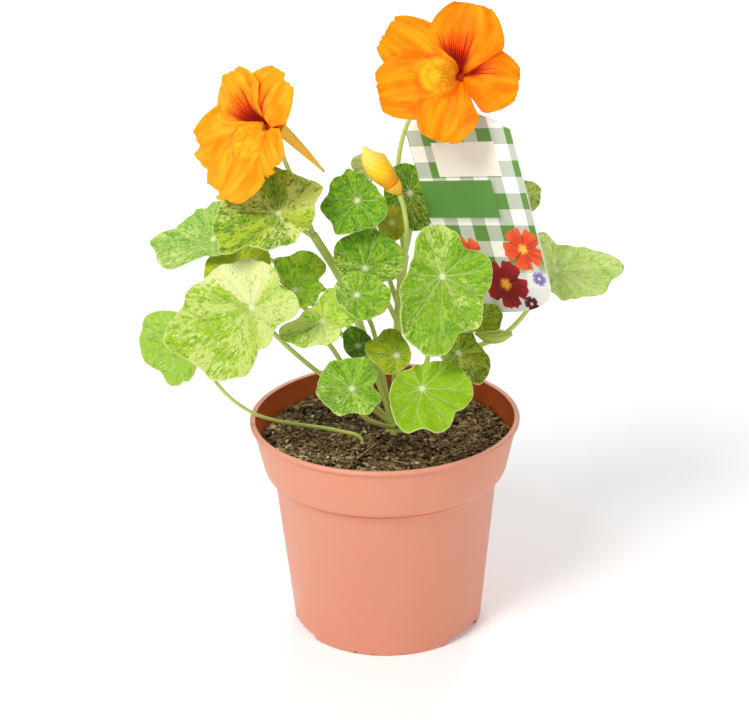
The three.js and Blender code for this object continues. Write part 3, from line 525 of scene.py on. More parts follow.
def over_grit(draw):
    """A place for grit, which lies in two drifts at the left and here and there on all the soil."""
    chance = draw.random()
    if chance < 0.35:
        x, y = draw.gauss(-42, 6), draw.gauss(-22, 4)
    elif chance < 0.45:
        x, y = draw.gauss(-54, 2), draw.gauss(8, 4)
    else:
        x, y = over_soil(draw)
    limit = min(1, GRIT_REACH / math.hypot(x, y))
    return x * limit, y * limit


def add_fibre(bm, marks, draw, ends, jog, radius, sides, steps):
    """Adds one thin fibre, bent by jog in its middle."""
    start, end = (Vector(point) for point in ends)
    line = [start, (start + end) / 2 + jog, end]
    add_tube(bm, marks, line, lambda part, turn: radius, sides, steps, draw.random())


class PLANT_OT_soil(bpy.types.Operator):
    """Makes the soil, its crumbs, grains of perlite and sand, and the bits of straw and root on it"""
    bl_idname = "nasturtium.soil"
    bl_label = "Soil"

    def execute(self, context):
        soil, pot = context.scene.nasturtium_soil, context.scene.nasturtium_pot
        inset = pot.wall / MM + GAP
        level = soil.top / MM
        side = [point for point in inner_side(pot, inset) if point[1] < level - 4]
        top_radius = side[-1][0] + 1.1
        foot = pot.base_radius / MM - inset - 1.5
        profile = [(0, inset), (foot, inset), *side[1:], (top_radius, level - 1)]
        profile += [((top_radius - 0.6) * (1 - i / SOIL_RINGS), level) for i in range(SOIL_RINGS + 1)]
        bm, _ = start_mesh()
        spun_body(bm, profile, SOIL_STEPS)
        for vert in bm.verts:
            if vert.co.z > level - 0.01:
                near_edge = smooth_step(top_radius, top_radius - 3, math.hypot(vert.co.x, vert.co.y))
                vert.co.z += soil_height(vert.co.x, vert.co.y) * (0.4 + 0.6 * near_edge) - 0.4
        body = end_mesh("soil_body", bm)
        for angle in DRAIN_ANGLES:
            body = carve(body, drain_tool(pot, angle, inset), "DIFFERENCE")
        bm, _ = start_mesh(body)
        add_piece("soil_body", bm, [moist_peat(soil)], ["soil"])

        draw = random.Random(SOIL_SEED)
        peat = loose_stuff("dry_peat_crumbs", "#1E130A", "#CDAE7C", 0.95)
        sand = loose_stuff("perlite_and_sand", "#C8A974", "#FFF6DE", 0.8)
        for name, material, *scatter in (
                ("soil_crumbs", peat, soil.crumbs, (0.25, 1.5), over_soil, 2.2),
                ("soil_grit", sand, GRIT_COUNT, (0.5, 1.5), over_grit, 1.2)):
            bm, marks = start_mesh()
            add_crumbs(bm, marks, draw, *scatter)
            add_piece(name, bm, [material], None)

        bm, marks = start_mesh()
        for *ends, radius in STRAWS:
            jog = Vector((draw.uniform(-1, 1), draw.uniform(-1, 1), 0.4))
            add_fibre(bm, marks, draw, ends, jog, radius, 6, 10)
        for _ in range(FIBRE_COUNT):
            x, y = over_soil(draw)
            jog = Vector((draw.uniform(-3, 3), draw.uniform(-3, 3), 0.4))
            start = Vector((x, y, SOIL_LEVEL + soil_height(x, y) + 0.3))
            end = start + Vector((draw.uniform(-5, 5), draw.uniform(-5, 5), draw.uniform(-0.4, 1)))
            if math.hypot(end.x, end.y) < SOIL_REACH:
                add_fibre(bm, marks, draw, (start, end), jog, draw.uniform(0.09, 0.22), 4, 6)
        straw = loose_stuff("straw_and_root_fibre", "#6A4A2A", "#E2C896", 0.7)
        add_piece("soil_straw", bm, [straw], None)
        return {"FINISHED"}


# ---- Leaves ----

# Each blade: its hub, the way its face looks (degrees), cup and waves of its edge (mm), and how far
# the edge reaches from the hub in equal steps round, starting at its right side. A fold is its
# direction in degrees and how steeply the blade rises beside it.
LEAVES = {
    "left_low": dict(
        hub=(-93, -5, 147), face=-30, lift=25, cup=2, wave=1.2, lobes=5, reach=(12, 12, 11, 11, 11, 11, 11,
        11, 12, 13, 15, 18, 21, 24, 26, 26, 26, 26, 25, 23, 20, 18, 19, 21, 20, 18, 18, 16, 14, 13, 12, 12)),
    "left_big": dict(
        hub=(-60, -32, 176), face=-18, lift=42, cup=4, wave=1.4, lobes=6, reach=(25, 24, 21, 17, 17, 20, 21,
        21, 22, 24, 24, 23, 25, 26, 27, 31, 32, 33, 40, 44, 40, 38, 38, 40, 37, 34, 24, 24, 22, 19, 19, 22)),
    "left_high": dict(
        hub=(-79, 9, 195), face=-35, lift=35, cup=0, wave=0.6, lobes=4, fold=(191, 0.45), reach=(10, 10, 11,
        12, 13, 14, 16, 18, 17, 16, 14, 15, 16, 16, 18, 20, 24, 36, 32, 30, 28, 24, 17, 12, 11, 10, 10, 11,
        12, 12, 12, 11)),
    "upper_left": dict(
        hub=(-47, -14, 215), face=-8, lift=48, cup=3, wave=1.4, lobes=6, reach=(18, 18, 21, 24, 23, 21, 20,
        21, 22, 24, 22, 20, 19, 20, 24, 27, 28, 29, 32, 32, 34, 24, 22, 22, 21, 19, 19, 20, 18, 18, 18, 18)),
    "under_left": dict(
        hub=(-66, 3, 183), face=-15, lift=48, cup=1, wave=1, lobes=5, reach=(15, 15, 15, 14, 13, 13, 14, 15,
        18, 19, 18, 16, 14, 13, 13, 14)),
    "mid_left": dict(
        hub=(-41, -8, 175), face=5, lift=40, cup=2, wave=1.2, lobes=5, reach=(14, 12, 18, 20, 21, 20, 17, 17,
        18, 10, 8, 6, 5, 5, 5, 5, 6, 6, 8, 10, 11, 12, 12, 12)),
    "centre_left": dict(
        hub=(-28, -25, 166), face=0, lift=50, cup=3, wave=1.4, lobes=5, reach=(18, 16, 15, 15, 17, 16, 12, 9,
        8, 8, 8, 9, 12, 21, 22, 20, 19, 15, 14, 14, 14, 12, 11, 13)),
    "top_middle": dict(
        hub=(-11, 2, 215), face=0, lift=35, cup=2, wave=0.8, lobes=6, reach=(13, 11, 11, 11, 11, 13, 13, 16,
        14, 15, 15, 14, 16, 18, 17, 17, 20, 18, 16, 15, 16, 16, 16, 15)),
    "behind_label": dict(
        hub=(14, 27, 210), face=5, lift=25, cup=2, wave=0.8, lobes=5, reach=(13, 13, 13, 13, 14, 15, 14, 13,
        13, 13, 15, 16, 19, 19, 17, 15)),
    "centre": dict(
        hub=(-8, -10, 186), face=3, lift=42, cup=2, wave=1, lobes=6, reach=(19, 20, 19, 19, 20, 18, 18, 16,
        14, 12, 11, 11, 11, 11, 12, 16)),
    "centre_low": dict(
        hub=(-12, -24, 178), face=3, lift=46, cup=2, wave=1, lobes=5, reach=(16, 13, 12, 11, 11, 11, 11, 11,
        10, 10, 10, 11, 13, 15, 16, 16)),
    "right_big": dict(
        hub=(27, -34, 190), face=2, lift=30, cup=4, wave=1.6, lobes=7, reach=(23, 23, 22, 20, 17, 17, 20, 22,
        24, 24, 23, 21, 18, 16, 16, 16, 17, 20, 22, 24, 29, 34, 36, 39, 37, 29, 28, 29, 25, 22, 22, 23)),
    "far_right_small": dict(
        hub=(70, 30, 206), face=25, lift=30, cup=1, wave=0.6, lobes=4, reach=(7, 8, 8, 8, 8, 8, 8, 9, 9, 9, 9,
        8, 8, 7, 7, 7)),
    "far_right": dict(
        hub=(83, 14, 174), face=30, lift=35, cup=1, wave=0.8, lobes=5, fold=(350, 0.3), reach=(33, 23, 19, 15,
        14, 13, 12, 12, 14, 19, 20, 16, 13, 12, 11, 10, 10, 10, 11, 13, 15, 16, 17, 17, 16, 17, 18, 21, 25,
        27, 30, 38)),
    "front_left": dict(
        hub=(-15, -44, 140), face=-3, lift=52, cup=2, wave=1.4, lobes=6, reach=(10, 12, 14, 14, 16, 15, 15,
        16, 16, 16, 16, 16, 16, 17, 16, 15, 16, 17, 14, 14, 17, 16, 16, 14)),
    "front_right": dict(
        hub=(17, -48, 141), face=5, lift=45, cup=3, wave=1.4, lobes=7, reach=(23, 21, 20, 19, 17, 14, 12, 12,
        11, 11, 10, 10, 12, 13, 13, 14, 15, 16, 17, 19, 21, 23, 24, 22, 22, 24, 24, 22, 20, 22, 23, 24)),
    "right_low": dict(
        hub=(35, -16, 145), face=20, lift=45, cup=2, wave=1, lobes=5, reach=(12, 10, 11, 12, 11, 10, 9, 9, 9,
        9, 9, 10, 10, 10, 10, 12, 12, 13, 15, 19, 18, 17, 16, 14)),
    "right_mid": dict(
        hub=(45, -8, 159), face=20, lift=45, cup=1, wave=0.8, lobes=4, reach=(12, 11, 9, 8, 8, 8, 8, 9, 10, 9,
        8, 8, 8, 9, 11, 11)),
    "low_centre": dict(
        hub=(6, -20, 146), face=0, lift=50, cup=1, wave=1, lobes=4, reach=(7, 7, 8, 10, 13, 14, 13, 16, 14,
        12, 11, 11, 10, 9, 8, 7)),
    "low_left": dict(
        hub=(-12, -12, 148), face=-5, lift=50, cup=1, wave=0.8, lobes=4, reach=(7, 7, 7, 8, 9, 10, 10, 8, 7,
        7, 7, 7, 7, 8, 8, 7)),
    "behind_bud": dict(
        hub=(5, 16, 199), face=10, lift=40, cup=1, wave=0.6, lobes=4, reach=(7, 7, 8, 9, 9, 9, 9, 8, 8, 8, 9,
        10, 10, 9, 8, 7)),
    "behind_bud_top": dict(
        hub=(-4, 30, 223), face=0, lift=40, cup=1, wave=0.6, lobes=4, reach=(8, 8, 8, 7, 7, 7, 8, 10, 10, 9,
        8, 8, 8, 8, 8, 8)),
}

# How each blade is coloured: patches of deep on green, splashed with light, or with cream inside the
# sectors named in creams, as (direction, half width, share). Amount is how much is splashed, deepness
# how much is deep, and zones shift the amount in a sector.
LOOKS = {
    "left_low": dict(
        deep="#7CA63A", green="#97BC40", light="#B6D066", amount=0.1, deepness=0.2, crackle=0.2, vivid=1.02),
    "left_big": dict(
        deep="#76A024", green="#92B63A", light="#C0D070", cream="#E4E4AA", amount=0.42, deepness=0.3,
        zones=((105, 45, 0.4), (350, 45, 0.35), (205, 50, -0.1)), creams=((110, 45, 1.0), (345, 40, 0.45),
        (215, 60, 0.25)), veins=(8, 38, 74, 102, 140, 172, 198, 226, 254, 290, 325)),
    "left_high": dict(
        deep="#6FA044", green="#8DB658", light="#BCD27C", cream="#D9E394", amount=0.3, deepness=0.3,
        creams=((230, 40, 0.6),)),
    "upper_left": dict(
        deep="#4A7A0E", green="#769E22", light="#ACBE4A", cream="#DDE08E", amount=0.4, deepness=0.45,
        zones=((110, 25, -0.25), (20, 50, 0.2)), creams=((287, 30, 0.9), (40, 40, 0.5), (165, 30, 0.5)),
        veins=(14, 52, 88, 118, 150, 180, 205, 232, 262, 300, 335)),
    "under_left": dict(deep="#7F9A10", green="#9BAC18", light="#B4BE44", amount=0.2, deepness=0.3),
    "mid_left": dict(
        deep="#66AC18", green="#A0CE30", light="#CCE068", cream="#D9E08A", amount=0.3, deepness=0.45,
        creams=((270, 60, 0.5),)),
    "centre_left": dict(
        deep="#6AAA22", green="#9EC83C", light="#CCDE70", cream="#E4ECA8", amount=0.5, deepness=0.35,
        zones=((275, 45, 0.1),), creams=((275, 50, 0.6), (200, 40, 0.3))),
    "top_middle": dict(
        deep="#46880C", green="#6EA61A", light="#A4C648", cream="#DCEA94", amount=0.05, deepness=0.5),
    "behind_label": dict(
        deep="#2F6A06", green="#518615", light="#8FB038", cream="#CFC964", amount=0.25, deepness=0.6,
        creams=((300, 40, 0.7),)),
    "centre": dict(
        deep="#3F8208", green="#679A16", light="#A3C048", cream="#DCE68E", amount=0.22, deepness=0.45,
        creams=((200, 40, 0.5), (330, 40, 0.4))),
    "centre_low": dict(
        deep="#4A8A10", green="#72A422", light="#A8C650", cream="#DCE892", amount=0.28, deepness=0.4,
        creams=((180, 60, 0.5),)),
    "right_big": dict(
        deep="#62941E", green="#7CA62C", light="#A6C258", cream="#D4DE8C", amount=0.08, deepness=0.4,
        zones=((95, 24, 0.35), (310, 18, 0.3)), creams=((88, 22, 0.5), (312, 16, 0.6), (215, 30, 0.5)),
        veined=0.6, veins=(5, 40, 78, 108, 140, 175, 205, 235, 265, 295, 330)),
    "far_right_small": dict(
        deep="#4F8A18", green="#86B22E", light="#C4D474", cream="#DFE494", amount=0.5, deepness=0.3,
        creams=((60, 60, 0.6),)),
    "far_right": dict(
        deep="#A0CC56", green="#C0DE6E", light="#DCEE9A", cream="#E6F0AE", amount=0.4, deepness=0.25,
        creams=((120, 70, 0.6),), vivid=1.02),
    "front_left": dict(
        deep="#548A14", green="#70A01E", light="#A2C44A", cream="#D8E890", amount=0.15, deepness=0.35,
        creams=((190, 60, 0.5), (280, 40, 0.4)), veins=(12, 45, 80, 112, 145, 178, 210, 244, 276, 308, 340)),
    "front_right": dict(
        deep="#84AC30", green="#90B63C", light="#A8C854", amount=0.05, deepness=0.15, crackle=0.1, veined=0.6,
        veins=(355, 40, 80, 120, 160, 197, 228, 252, 300, 322)),
    "right_low": dict(
        deep="#3F7610", green="#769618", light="#ACB836", cream="#DADA6C", amount=0.4, deepness=0.55,
        creams=((285, 40, 0.7), (190, 30, 0.5))),
    "right_mid": dict(deep="#3F7A0C", green="#739A20", light="#A4B43A", amount=0.4, deepness=0.5),
    "low_centre": dict(
        deep="#678F0C", green="#90A812", light="#B2BE28", amount=0.3, deepness=0.3, zones=((70, 40, -0.4),)),
    "low_left": dict(deep="#2C660A", green="#4C840F", light="#8EB030", amount=0.15, deepness=0.5),
    "behind_bud": dict(deep="#7F9016", green="#A0A826", light="#BDBE48", amount=0.3, deepness=0.3),
    "behind_bud_top": dict(deep="#93B455", green="#AFC474", light="#D9E2A8", amount=0.4, deepness=0.3),
}
VEIN_COUNT = 11
LEAF_STEPS = (144, 22)  # round a blade, and outwards
PALE_EDGE = "#D9E28E"
UNDERSIDE = "#A3C275"


def vein_turns(name):
    """Where a blade's veins run, as parts of a turn in rising order."""
    if "veins" in LOOKS[name]:
        return sorted(angle / 360 for angle in LOOKS[name]["veins"])
    draw = random.Random("veins " + name)
    start = draw.random()
    return sorted((start + (i + draw.uniform(-0.22, 0.22)) / VEIN_COUNT) % 1 for i in range(VEIN_COUNT))


def vein_pattern(add, marks, turns):
    """The share of a blade's veins and of the net between them, which lane between two veins this is,
    the place on the flat blade, and how far from the hub it is, in mm and as a part of the blade."""
    x, y, part = add("SeparateXYZ", marks).node.outputs
    flat = add("CombineXYZ", x, y)
    reach = add("VectorMath.LENGTH", flat)
    bearing = add("Math.MULTIPLY_ADD", add("Math.ARCTAN2", y, x), 1 / math.tau, -turns[0])
    # The veins waver by a degree or two.
    bearing = add("Math.MULTIPLY_ADD", add("TexNoise", flat, 0.2, 1), 0.018, bearing)
    bearing = add("Math.FRACT", add("Math.SUBTRACT", bearing, 0.009))
    # The curve spaces the lanes between the veins evenly.
    curve = add("FloatCurve", Value=bearing)
    mapping = curve.node.mapping
    count = len(turns)
    for i, turn in enumerate(turns[1:], 1):
        mapping.curves[0].points.new(turn - turns[0], i / count)
    for point in mapping.curves[0].points:
        point.handle_type = "VECTOR"
    mapping.update()
    spread = add("Math.MULTIPLY", curve, count)
    off_vein = add("Math.PINGPONG", spread, 0.5)
    arc = add("Math.MULTIPLY", reach, math.tau / count)
    width = add("MapRange", part, 0, 1, 0.55, 0.3)
    fade = add("MapRange", part, 0.2, 1, 1, 0.3)
    # From the middle of the blade outwards each vein forks.
    fork = add("MapRange", part, 0.45, 1, 0, 0.3)
    off_fork = add("Math.ABSOLUTE", add("Math.SUBTRACT", off_vein, fork))
    lines = add("MapRange", reach, 2.4, 0.6)
    for off, strength, easing in ((off_vein, fade, "SMOOTHSTEP"), (off_fork, 0.4, "LINEAR")):
        away = add("Math.DIVIDE", add("Math.MULTIPLY", off, arc), width)
        line = add("MapRange", away, 1, 0.1, 0, strength, interpolation_type=easing)
        lines = add("Math.MAXIMUM", lines, line)
    # A net of fine veins, about 2 mm from one to the next, joins them.
    net = add("MapRange", add("TexVoronoi", flat, 0.5, feature="DISTANCE_TO_EDGE"), 0.1, 0, 0, 0.16)
    return lines, net, add("Math.FLOOR", spread), flat, reach, part


def sector(add, way, ragged, direction, half_width, amount):
    """The share of a sector of the blade; ragged, from about -0.5 to 0.5, makes its sides uneven."""
    bearing = math.radians(direction)
    along = add("VectorMath.DOT_PRODUCT", way, (math.cos(bearing), math.sin(bearing), 0))
    along = add("Math.MULTIPLY_ADD", ragged, 0.35, along)
    limits = (math.cos(math.radians(max(half_width + soft, 0))) for soft in (9, -9))
    return add("MapRange", along, *limits, 0, amount)


def leaf_blade(name, leaf, look, vein_colour):
    """A thin waxy blade: patched greens, splashes that run outwards, pale veins and a low sheen."""
    material, add, _, marks = start_material("leaf_blade_" + name)
    lines, net, lane, flat, reach, part = vein_pattern(add, marks, vein_turns(name))
    seed = (len(name) * 7 + sum(leaf["hub"])) % 50
    # A place in which lengths outwards are shortened, so that noise read there runs outwards.
    way = add("VectorMath.NORMALIZE", flat)
    fan = add("VectorMath.SCALE", way, add("Math.POWER", reach, 0.5))
    fan = add("VectorMath.ADD", fan, (0, 0, seed))
    patches = add("TexNoise", fan, 0.7, 2)
    blots = add("TexNoise", fan, 1.5, 4, 0.6, Distortion=0.6)
    splashes = add("TexNoise", fan, 3.4, 5, 0.68, Distortion=0.5)
    ragged = add("Math.SUBTRACT", add("Math.ADD", splashes, patches), 1)
    # How much is splashed differs from one patch to the next, and from one side of a vein to the other.
    kind = add("TexWhiteNoise", add("Math.MULTIPLY_ADD", lane, 0.37, seed), noise_dimensions="1D")
    amount = add("Math.MULTIPLY_ADD", patches, 1.6, look["amount"] - 0.95)
    amount = add("Math.MULTIPLY_ADD", kind, 0.3, amount)
    for zone in look.get("zones", ()):
        amount = add("Math.ADD", amount, sector(add, way, ragged, *zone))
    pale = add("MapRange", add("Math.MULTIPLY_ADD", amount, 0.3, splashes), 0.6, 0.65)
    depth = 0.28 * look["deepness"]
    deep = add("MapRange", blots, 0.6 - depth, 0.64 - depth)
    # The pale parts are sprinkled with green.
    creams = [(sector(add, way, ragged, *zone), look["cream"]) for zone in look.get("creams", ())]
    sprinkle = add("MapRange", add("TexNoise", fan, 8, 3, 0.6), 0.5, 0.62, 0, 0.45)
    splash = painted(add, look["light"], *creams, (sprinkle, look["green"]))
    colour = painted(add, look["green"], (deep, look["deep"]), (pale, splash))
    colour = add("HueSaturation", Saturation=look.get("vivid", 1.1), Color=colour)
    # Thin pale lines wander over the green.
    crackle = add("TexNoise", fan, 2.6, 4, 0.6, Distortion=1.2)
    crackle = add("Math.ABSOLUTE", add("Math.SUBTRACT", crackle, 0.5))
    crackle = add("MapRange", crackle, 0.02, 0.008, 0, look.get("crackle", 0.85))
    veined = add("Math.MULTIPLY", lines, look.get("veined", 0.45))
    hub = add("MapRange", reach, 1.9, 0.6, 0, 0.75)
    # The very edge is a thin pale line.
    edge = add("MapRange", part, 0.975, 0.995, 0, 0.6)
    colour = painted(add, colour, (crackle, splash), (net, vein_colour), (veined, vein_colour),
                     (hub, "#EDF3CE"), (edge, PALE_EDGE))
    # The blade bulges between the veins.
    relief = add("Math.ADD", add("Math.MULTIPLY_ADD", lines, -1, 1), splashes)
    return end_material(material, add, colour, 0.6, relief, 0.3, Specular_IOR_Level=0.1)


def leaf_underside(vein_colour):
    """The dull, paler underside of a blade, with veins that stand out."""
    material, add, _, marks = start_material("leaf_underside")
    turns = [i / VEIN_COUNT for i in range(VEIN_COUNT)]
    lines, net, _, flat, *_ = vein_pattern(add, marks, turns)
    cloud = add("TexNoise", flat, 0.3, 3)
    colour = painted(add, "#8FB15C", (cloud, UNDERSIDE), (net, vein_colour), (lines, vein_colour))
    relief = add("Math.ADD", lines, net)
    return end_material(material, add, colour, 0.7, relief, 0.4, Specular_IOR_Level=0.15)


def blade_height(leaf, part, turn, x, y):
    """How far a blade stands over its hub."""
    height = (leaf["cup"] + leaf["wave"] * math.sin(leaf["lobes"] * math.tau * turn)) * part ** 2
    if "fold" in leaf:
        axis, rise = leaf["fold"]
        off_line = y * math.cos(math.radians(axis)) - x * math.sin(math.radians(axis))
        height += rise * (math.hypot(off_line, 1.2) - 1.2)
    return height


class PLANT_OT_leaves(bpy.types.Operator):
    """Makes every leaf blade, veined and variegated, in the place of its solid"""
    bl_idname = "nasturtium.leaves"
    bl_label = "Leaves"

    def execute(self, context):
        settings = context.scene.nasturtium_leaves
        vein_colour = list(settings.vein_colour)
        underside = leaf_underside(vein_colour)
        for name, leaf in LEAVES.items():
            stand = facing(leaf["hub"], leaf["face"], leaf["lift"])
            turns = vein_turns(name)
            bm, marks = start_mesh()
            seed = Vector(leaf["hub"])

            def place(u, v):
                turn = 1 - u
                part = v ** 0.9
                angle = math.tau * turn
                way = Vector((math.cos(angle), math.sin(angle), 0))
                rough = noise.noise(seed + way * 4) + 0.7 * noise.noise(seed + way * 11)
                reach = ring_value(leaf["reach"], turn) * (0.975 + 0.018 * rough) * part
                x, y = reach * math.cos(angle), reach * math.sin(angle)
                nearest = min(abs((turn - t + 0.5) % 1 - 0.5) for t in turns) * math.tau * reach
                pucker = 0.55 * smooth_step(0, 2.2, nearest) * smooth_step(0.1, 0.5, part)
                ripple = 1.3 * part ** 2 * noise.noise(seed + Vector((x, y, 0)) * 0.13)
                ripple += 0.5 * part ** 4 * noise.noise(seed + Vector((x, y, 9)) * 0.35)
                height = blade_height(leaf, part, turn, x, y) + pucker - 0.2 + ripple
                return stand @ Vector((x, y, height)), (x, y, part)

            add_sheet(bm, marks, *LEAF_STEPS, place)
            blade = leaf_blade(name, leaf, LOOKS[name], vein_colour)
            add_piece("leaf_blade_" + name, bm, [blade, underside], ["leaf_" + name],
                      settings.thickness / MM)
        return {"FINISHED"}


# ---- Stems ----

STEMS = (
    ((5, 4, 92), (1, 8, 112), (-8, 8, 140), (-18, 5, 172), (-32, 5, 198)),
    ((5, 4, 92), (6, 8, 125), (8, 14, 160), (11, 18, 182)),
    ((5, 4, 92), (7, 4, 100), (16, 4, 113), (30, 4, 128), (44, 6, 142)),
)
PETIOLES = {
    "left_big": ((4, 3, 100), (-14, -4, 119), (-30, -12, 134), (-46, -18, 152)),
    "left_high": ((-15, 6, 162), (-36, 18, 170), (-60, 25, 182)),
    "upper_left": ((-31, 5, 196), (-40, 2, 203)),
    "under_left": ((-10, 7, 146), (-34, 18, 158), (-56, 24, 168)),
    "mid_left": ((-4, 8, 130), (-22, 8, 148)),
    "centre_left": ((4, 4, 100), (-12, -6, 124), (-22, -9, 142)),
    "top_middle": ((9, 15, 168), (2, 16, 188)),
    "behind_label": ((10, 17, 178), (14, 33, 190)),
    "centre": ((7, 12, 150), (0, 8, 166)),
    "centre_low": ((4, 4, 100), (-1, 2, 130), (-6, -2, 156)),
    "right_big": ((6, 4, 100), (18, -8, 130), (24, -16, 160)),
    "far_right_small": ((8, 14, 160), (28, 34, 172), (56, 44, 186)),
    "far_right": ((40, 5, 138), (57, 3, 146), (70, 12, 156)),
    "front_left": ((5, 3, 100), (2, -12, 106), (-9, -28, 118)),
    "front_right": ((6, 3, 100), (11, -16, 107), (16, -32, 120)),
    "right_low": ((18, 4, 115), (28, 0, 130)),
    "right_mid": ((36, 5, 134), (42, 4, 144)),
    "low_centre": ((5, 3, 100), (6, -3, 122)),
    "low_left": ((4, 3, 100), (-4, 0, 126)),
    "behind_bud": ((9, 15, 166), (8, 22, 182)),
    "behind_bud_top": ((8, 13, 156), (-2, 30, 186), (-6, 40, 208)),
    "left_low": ((-11.6, -7.1, 84.5), (-11.7, -7.1, 98), (-22, -7, 102), (-62, -5.5, 111), (-80, -2, 126)),
}
BUD_STALK = ((10, 16, 176), (12, 7, 196), (10.5, 4, 211), (8.8, 3.3, 217))
TRAIL_SHARE = 0.76  # of the other petioles' radius
NECK_FOOT = 13  # under its blade, where a petiole turns straight towards it
NECK_TOP = 0.45
CROWN_LINE = ((5, 4, 84), (5, 4, 94), (5, 4, 103))
YOUNG_LEAF_STALK = ((30, 4, 128), (34, -1, 144), (38, -4, 151.6), (42.8, -4.9, 151.3))


def succulent_stem(stems):
    """A juicy smooth stem: pale yellow-green, faintly streaked along it, yellower here and there."""
    material, add, place, marks = start_material("succulent_stem")
    around, along, _ = add("SeparateXYZ", marks).node.outputs
    around = add("Math.MULTIPLY", around, math.tau)
    ringed = add("CombineXYZ", add("Math.COSINE", around), add("Math.SINE", around),
                 add("Math.MULTIPLY", along, 2))
    streaks = add("TexNoise", ringed, 2.6, 3)
    warm = add("MapRange", add("TexNoise", place, 70, 2), 0.5, 0.75, 0, 0.4)
    colour = painted(add, "#B8CC5C", (streaks, list(stems.colour)), (warm, "#CFC878"))
    return end_material(material, add, colour, 0.45, streaks, 0.15, Specular_IOR_Level=0.3)


class PLANT_OT_stems(bpy.types.Operator):
    """Makes the leafy stems, the petioles and the flower stalks"""
    bl_idname = "nasturtium.stems"
    bl_label = "Stems"

    def execute(self, context):
        stems = context.scene.nasturtium_stems
        juicy = succulent_stem(stems)
        thick, thin = stems.stem_radius / MM, stems.petiole_radius / MM
        bm, marks = start_mesh()

        def tapered(size, swell):
            """A radius that is fuller at the foot and swells where it meets the blade."""
            return lambda part, turn: size * (1 + 0.18 * (1 - part) ** 6 + swell * part ** 24)

        for number, line in enumerate(STEMS):
            add_tube(bm, marks, line, tapered(thick, 0), 16, 48, number * 0.37)
        for number, (name, route) in enumerate(PETIOLES.items()):
            if name == "left_low":
                continue
            add_tube(bm, marks, petiole_line(name, route), tapered(thin, 0.35), 14, 44, number * 0.21)
        for number, bloom in enumerate(BLOOMS.values()):
            add_tube(bm, marks, [*bloom["stalk"], stalk_top(bloom)], tapered(thin, 0.5), 14, 40, number * 0.4)
        add_tube(bm, marks, BUD_STALK, tapered(thin, 0.3), 12, 24, 0.9)
        add_tube(bm, marks, YOUNG_LEAF_STALK, tapered(thin, 0.3), 12, 20, 0.7)

        def crown(part, turn):
            lobes = 1 + 0.07 * math.sin(3 * turn) + 0.05 * math.sin(5 * turn + 1)
            return lobes * (2 + 3.2 * math.sin(math.pi * min(part * 1.05, 1)) ** 0.6) * (1 - 0.3 * part ** 4)

        add_tube(bm, marks, CROWN_LINE, crown, 24, 20, 0.1)
        add_piece("stems_and_petioles", bm, [juicy], ["stems"])
        bm, marks = start_mesh()
        trail = petiole_line("left_low", PETIOLES["left_low"])
        add_tube(bm, marks, trail, tapered(TRAIL_SHARE * thin, 0.35), 14, 70, 0.5)
        add_piece("trailing_petiole", bm, [juicy], ["stem_left_low"])
        return {"FINISHED"}


def petiole_line(name, route):
    """A petiole's line: along its route, then straight up to the back of the blade at its hub."""
    leaf = LEAVES[name]
    stand = facing(leaf["hub"], leaf["face"], leaf["lift"])
    return [*route, stand @ Vector((0, 0, -NECK_FOOT)), stand @ Vector((0, 0, -NECK_TOP))]


# ---- Blooms ----

THROAT_RADIUS = 1.8
THROAT_DEPTH = 11
THROAT_FLARE = 4.5  # the distance in which the throat opens to a third of its depth
BOSS_HEIGHT = 7  # the cushion that the claws of the lower petals form in front of the throat
BOSS_RADIUS = 5.5
GROOVE_DEPTH = 2.2  # along the dark lines of an upper petal
GROOVE_WIDTH = 2.4
PETAL_ROW_SPACING = 1.15
PETAL_WIDEST = 0.56
PETAL_END = 1.05
PETAL_STEPS = (40, 44)  # across a petal, and outwards
PETAL_BOW = 2.2
PETAL_WAVES = 4.4
UPPER_CLAW = 1.5  # half widths
LOWER_CLAW = 3.6
SEPAL_SEAT = THROAT_RADIUS + 1
SEPAL_LENGTH = 13
SEPAL_WIDTH = 9
SEPAL_RISE = 6
SEPAL_DROP = 1.8
SEPAL_COUNT = 5
SEPAL_TURN = 30  # degrees from the first petal to the first sepal
FRINGE_TRIES = 220  # hairs tried on each lower petal
STALK_DEPTH = 14.7  # of the flower stalk's end, under the face
SPUR_RADII = (3, 2.5, 1.6, 0.6)
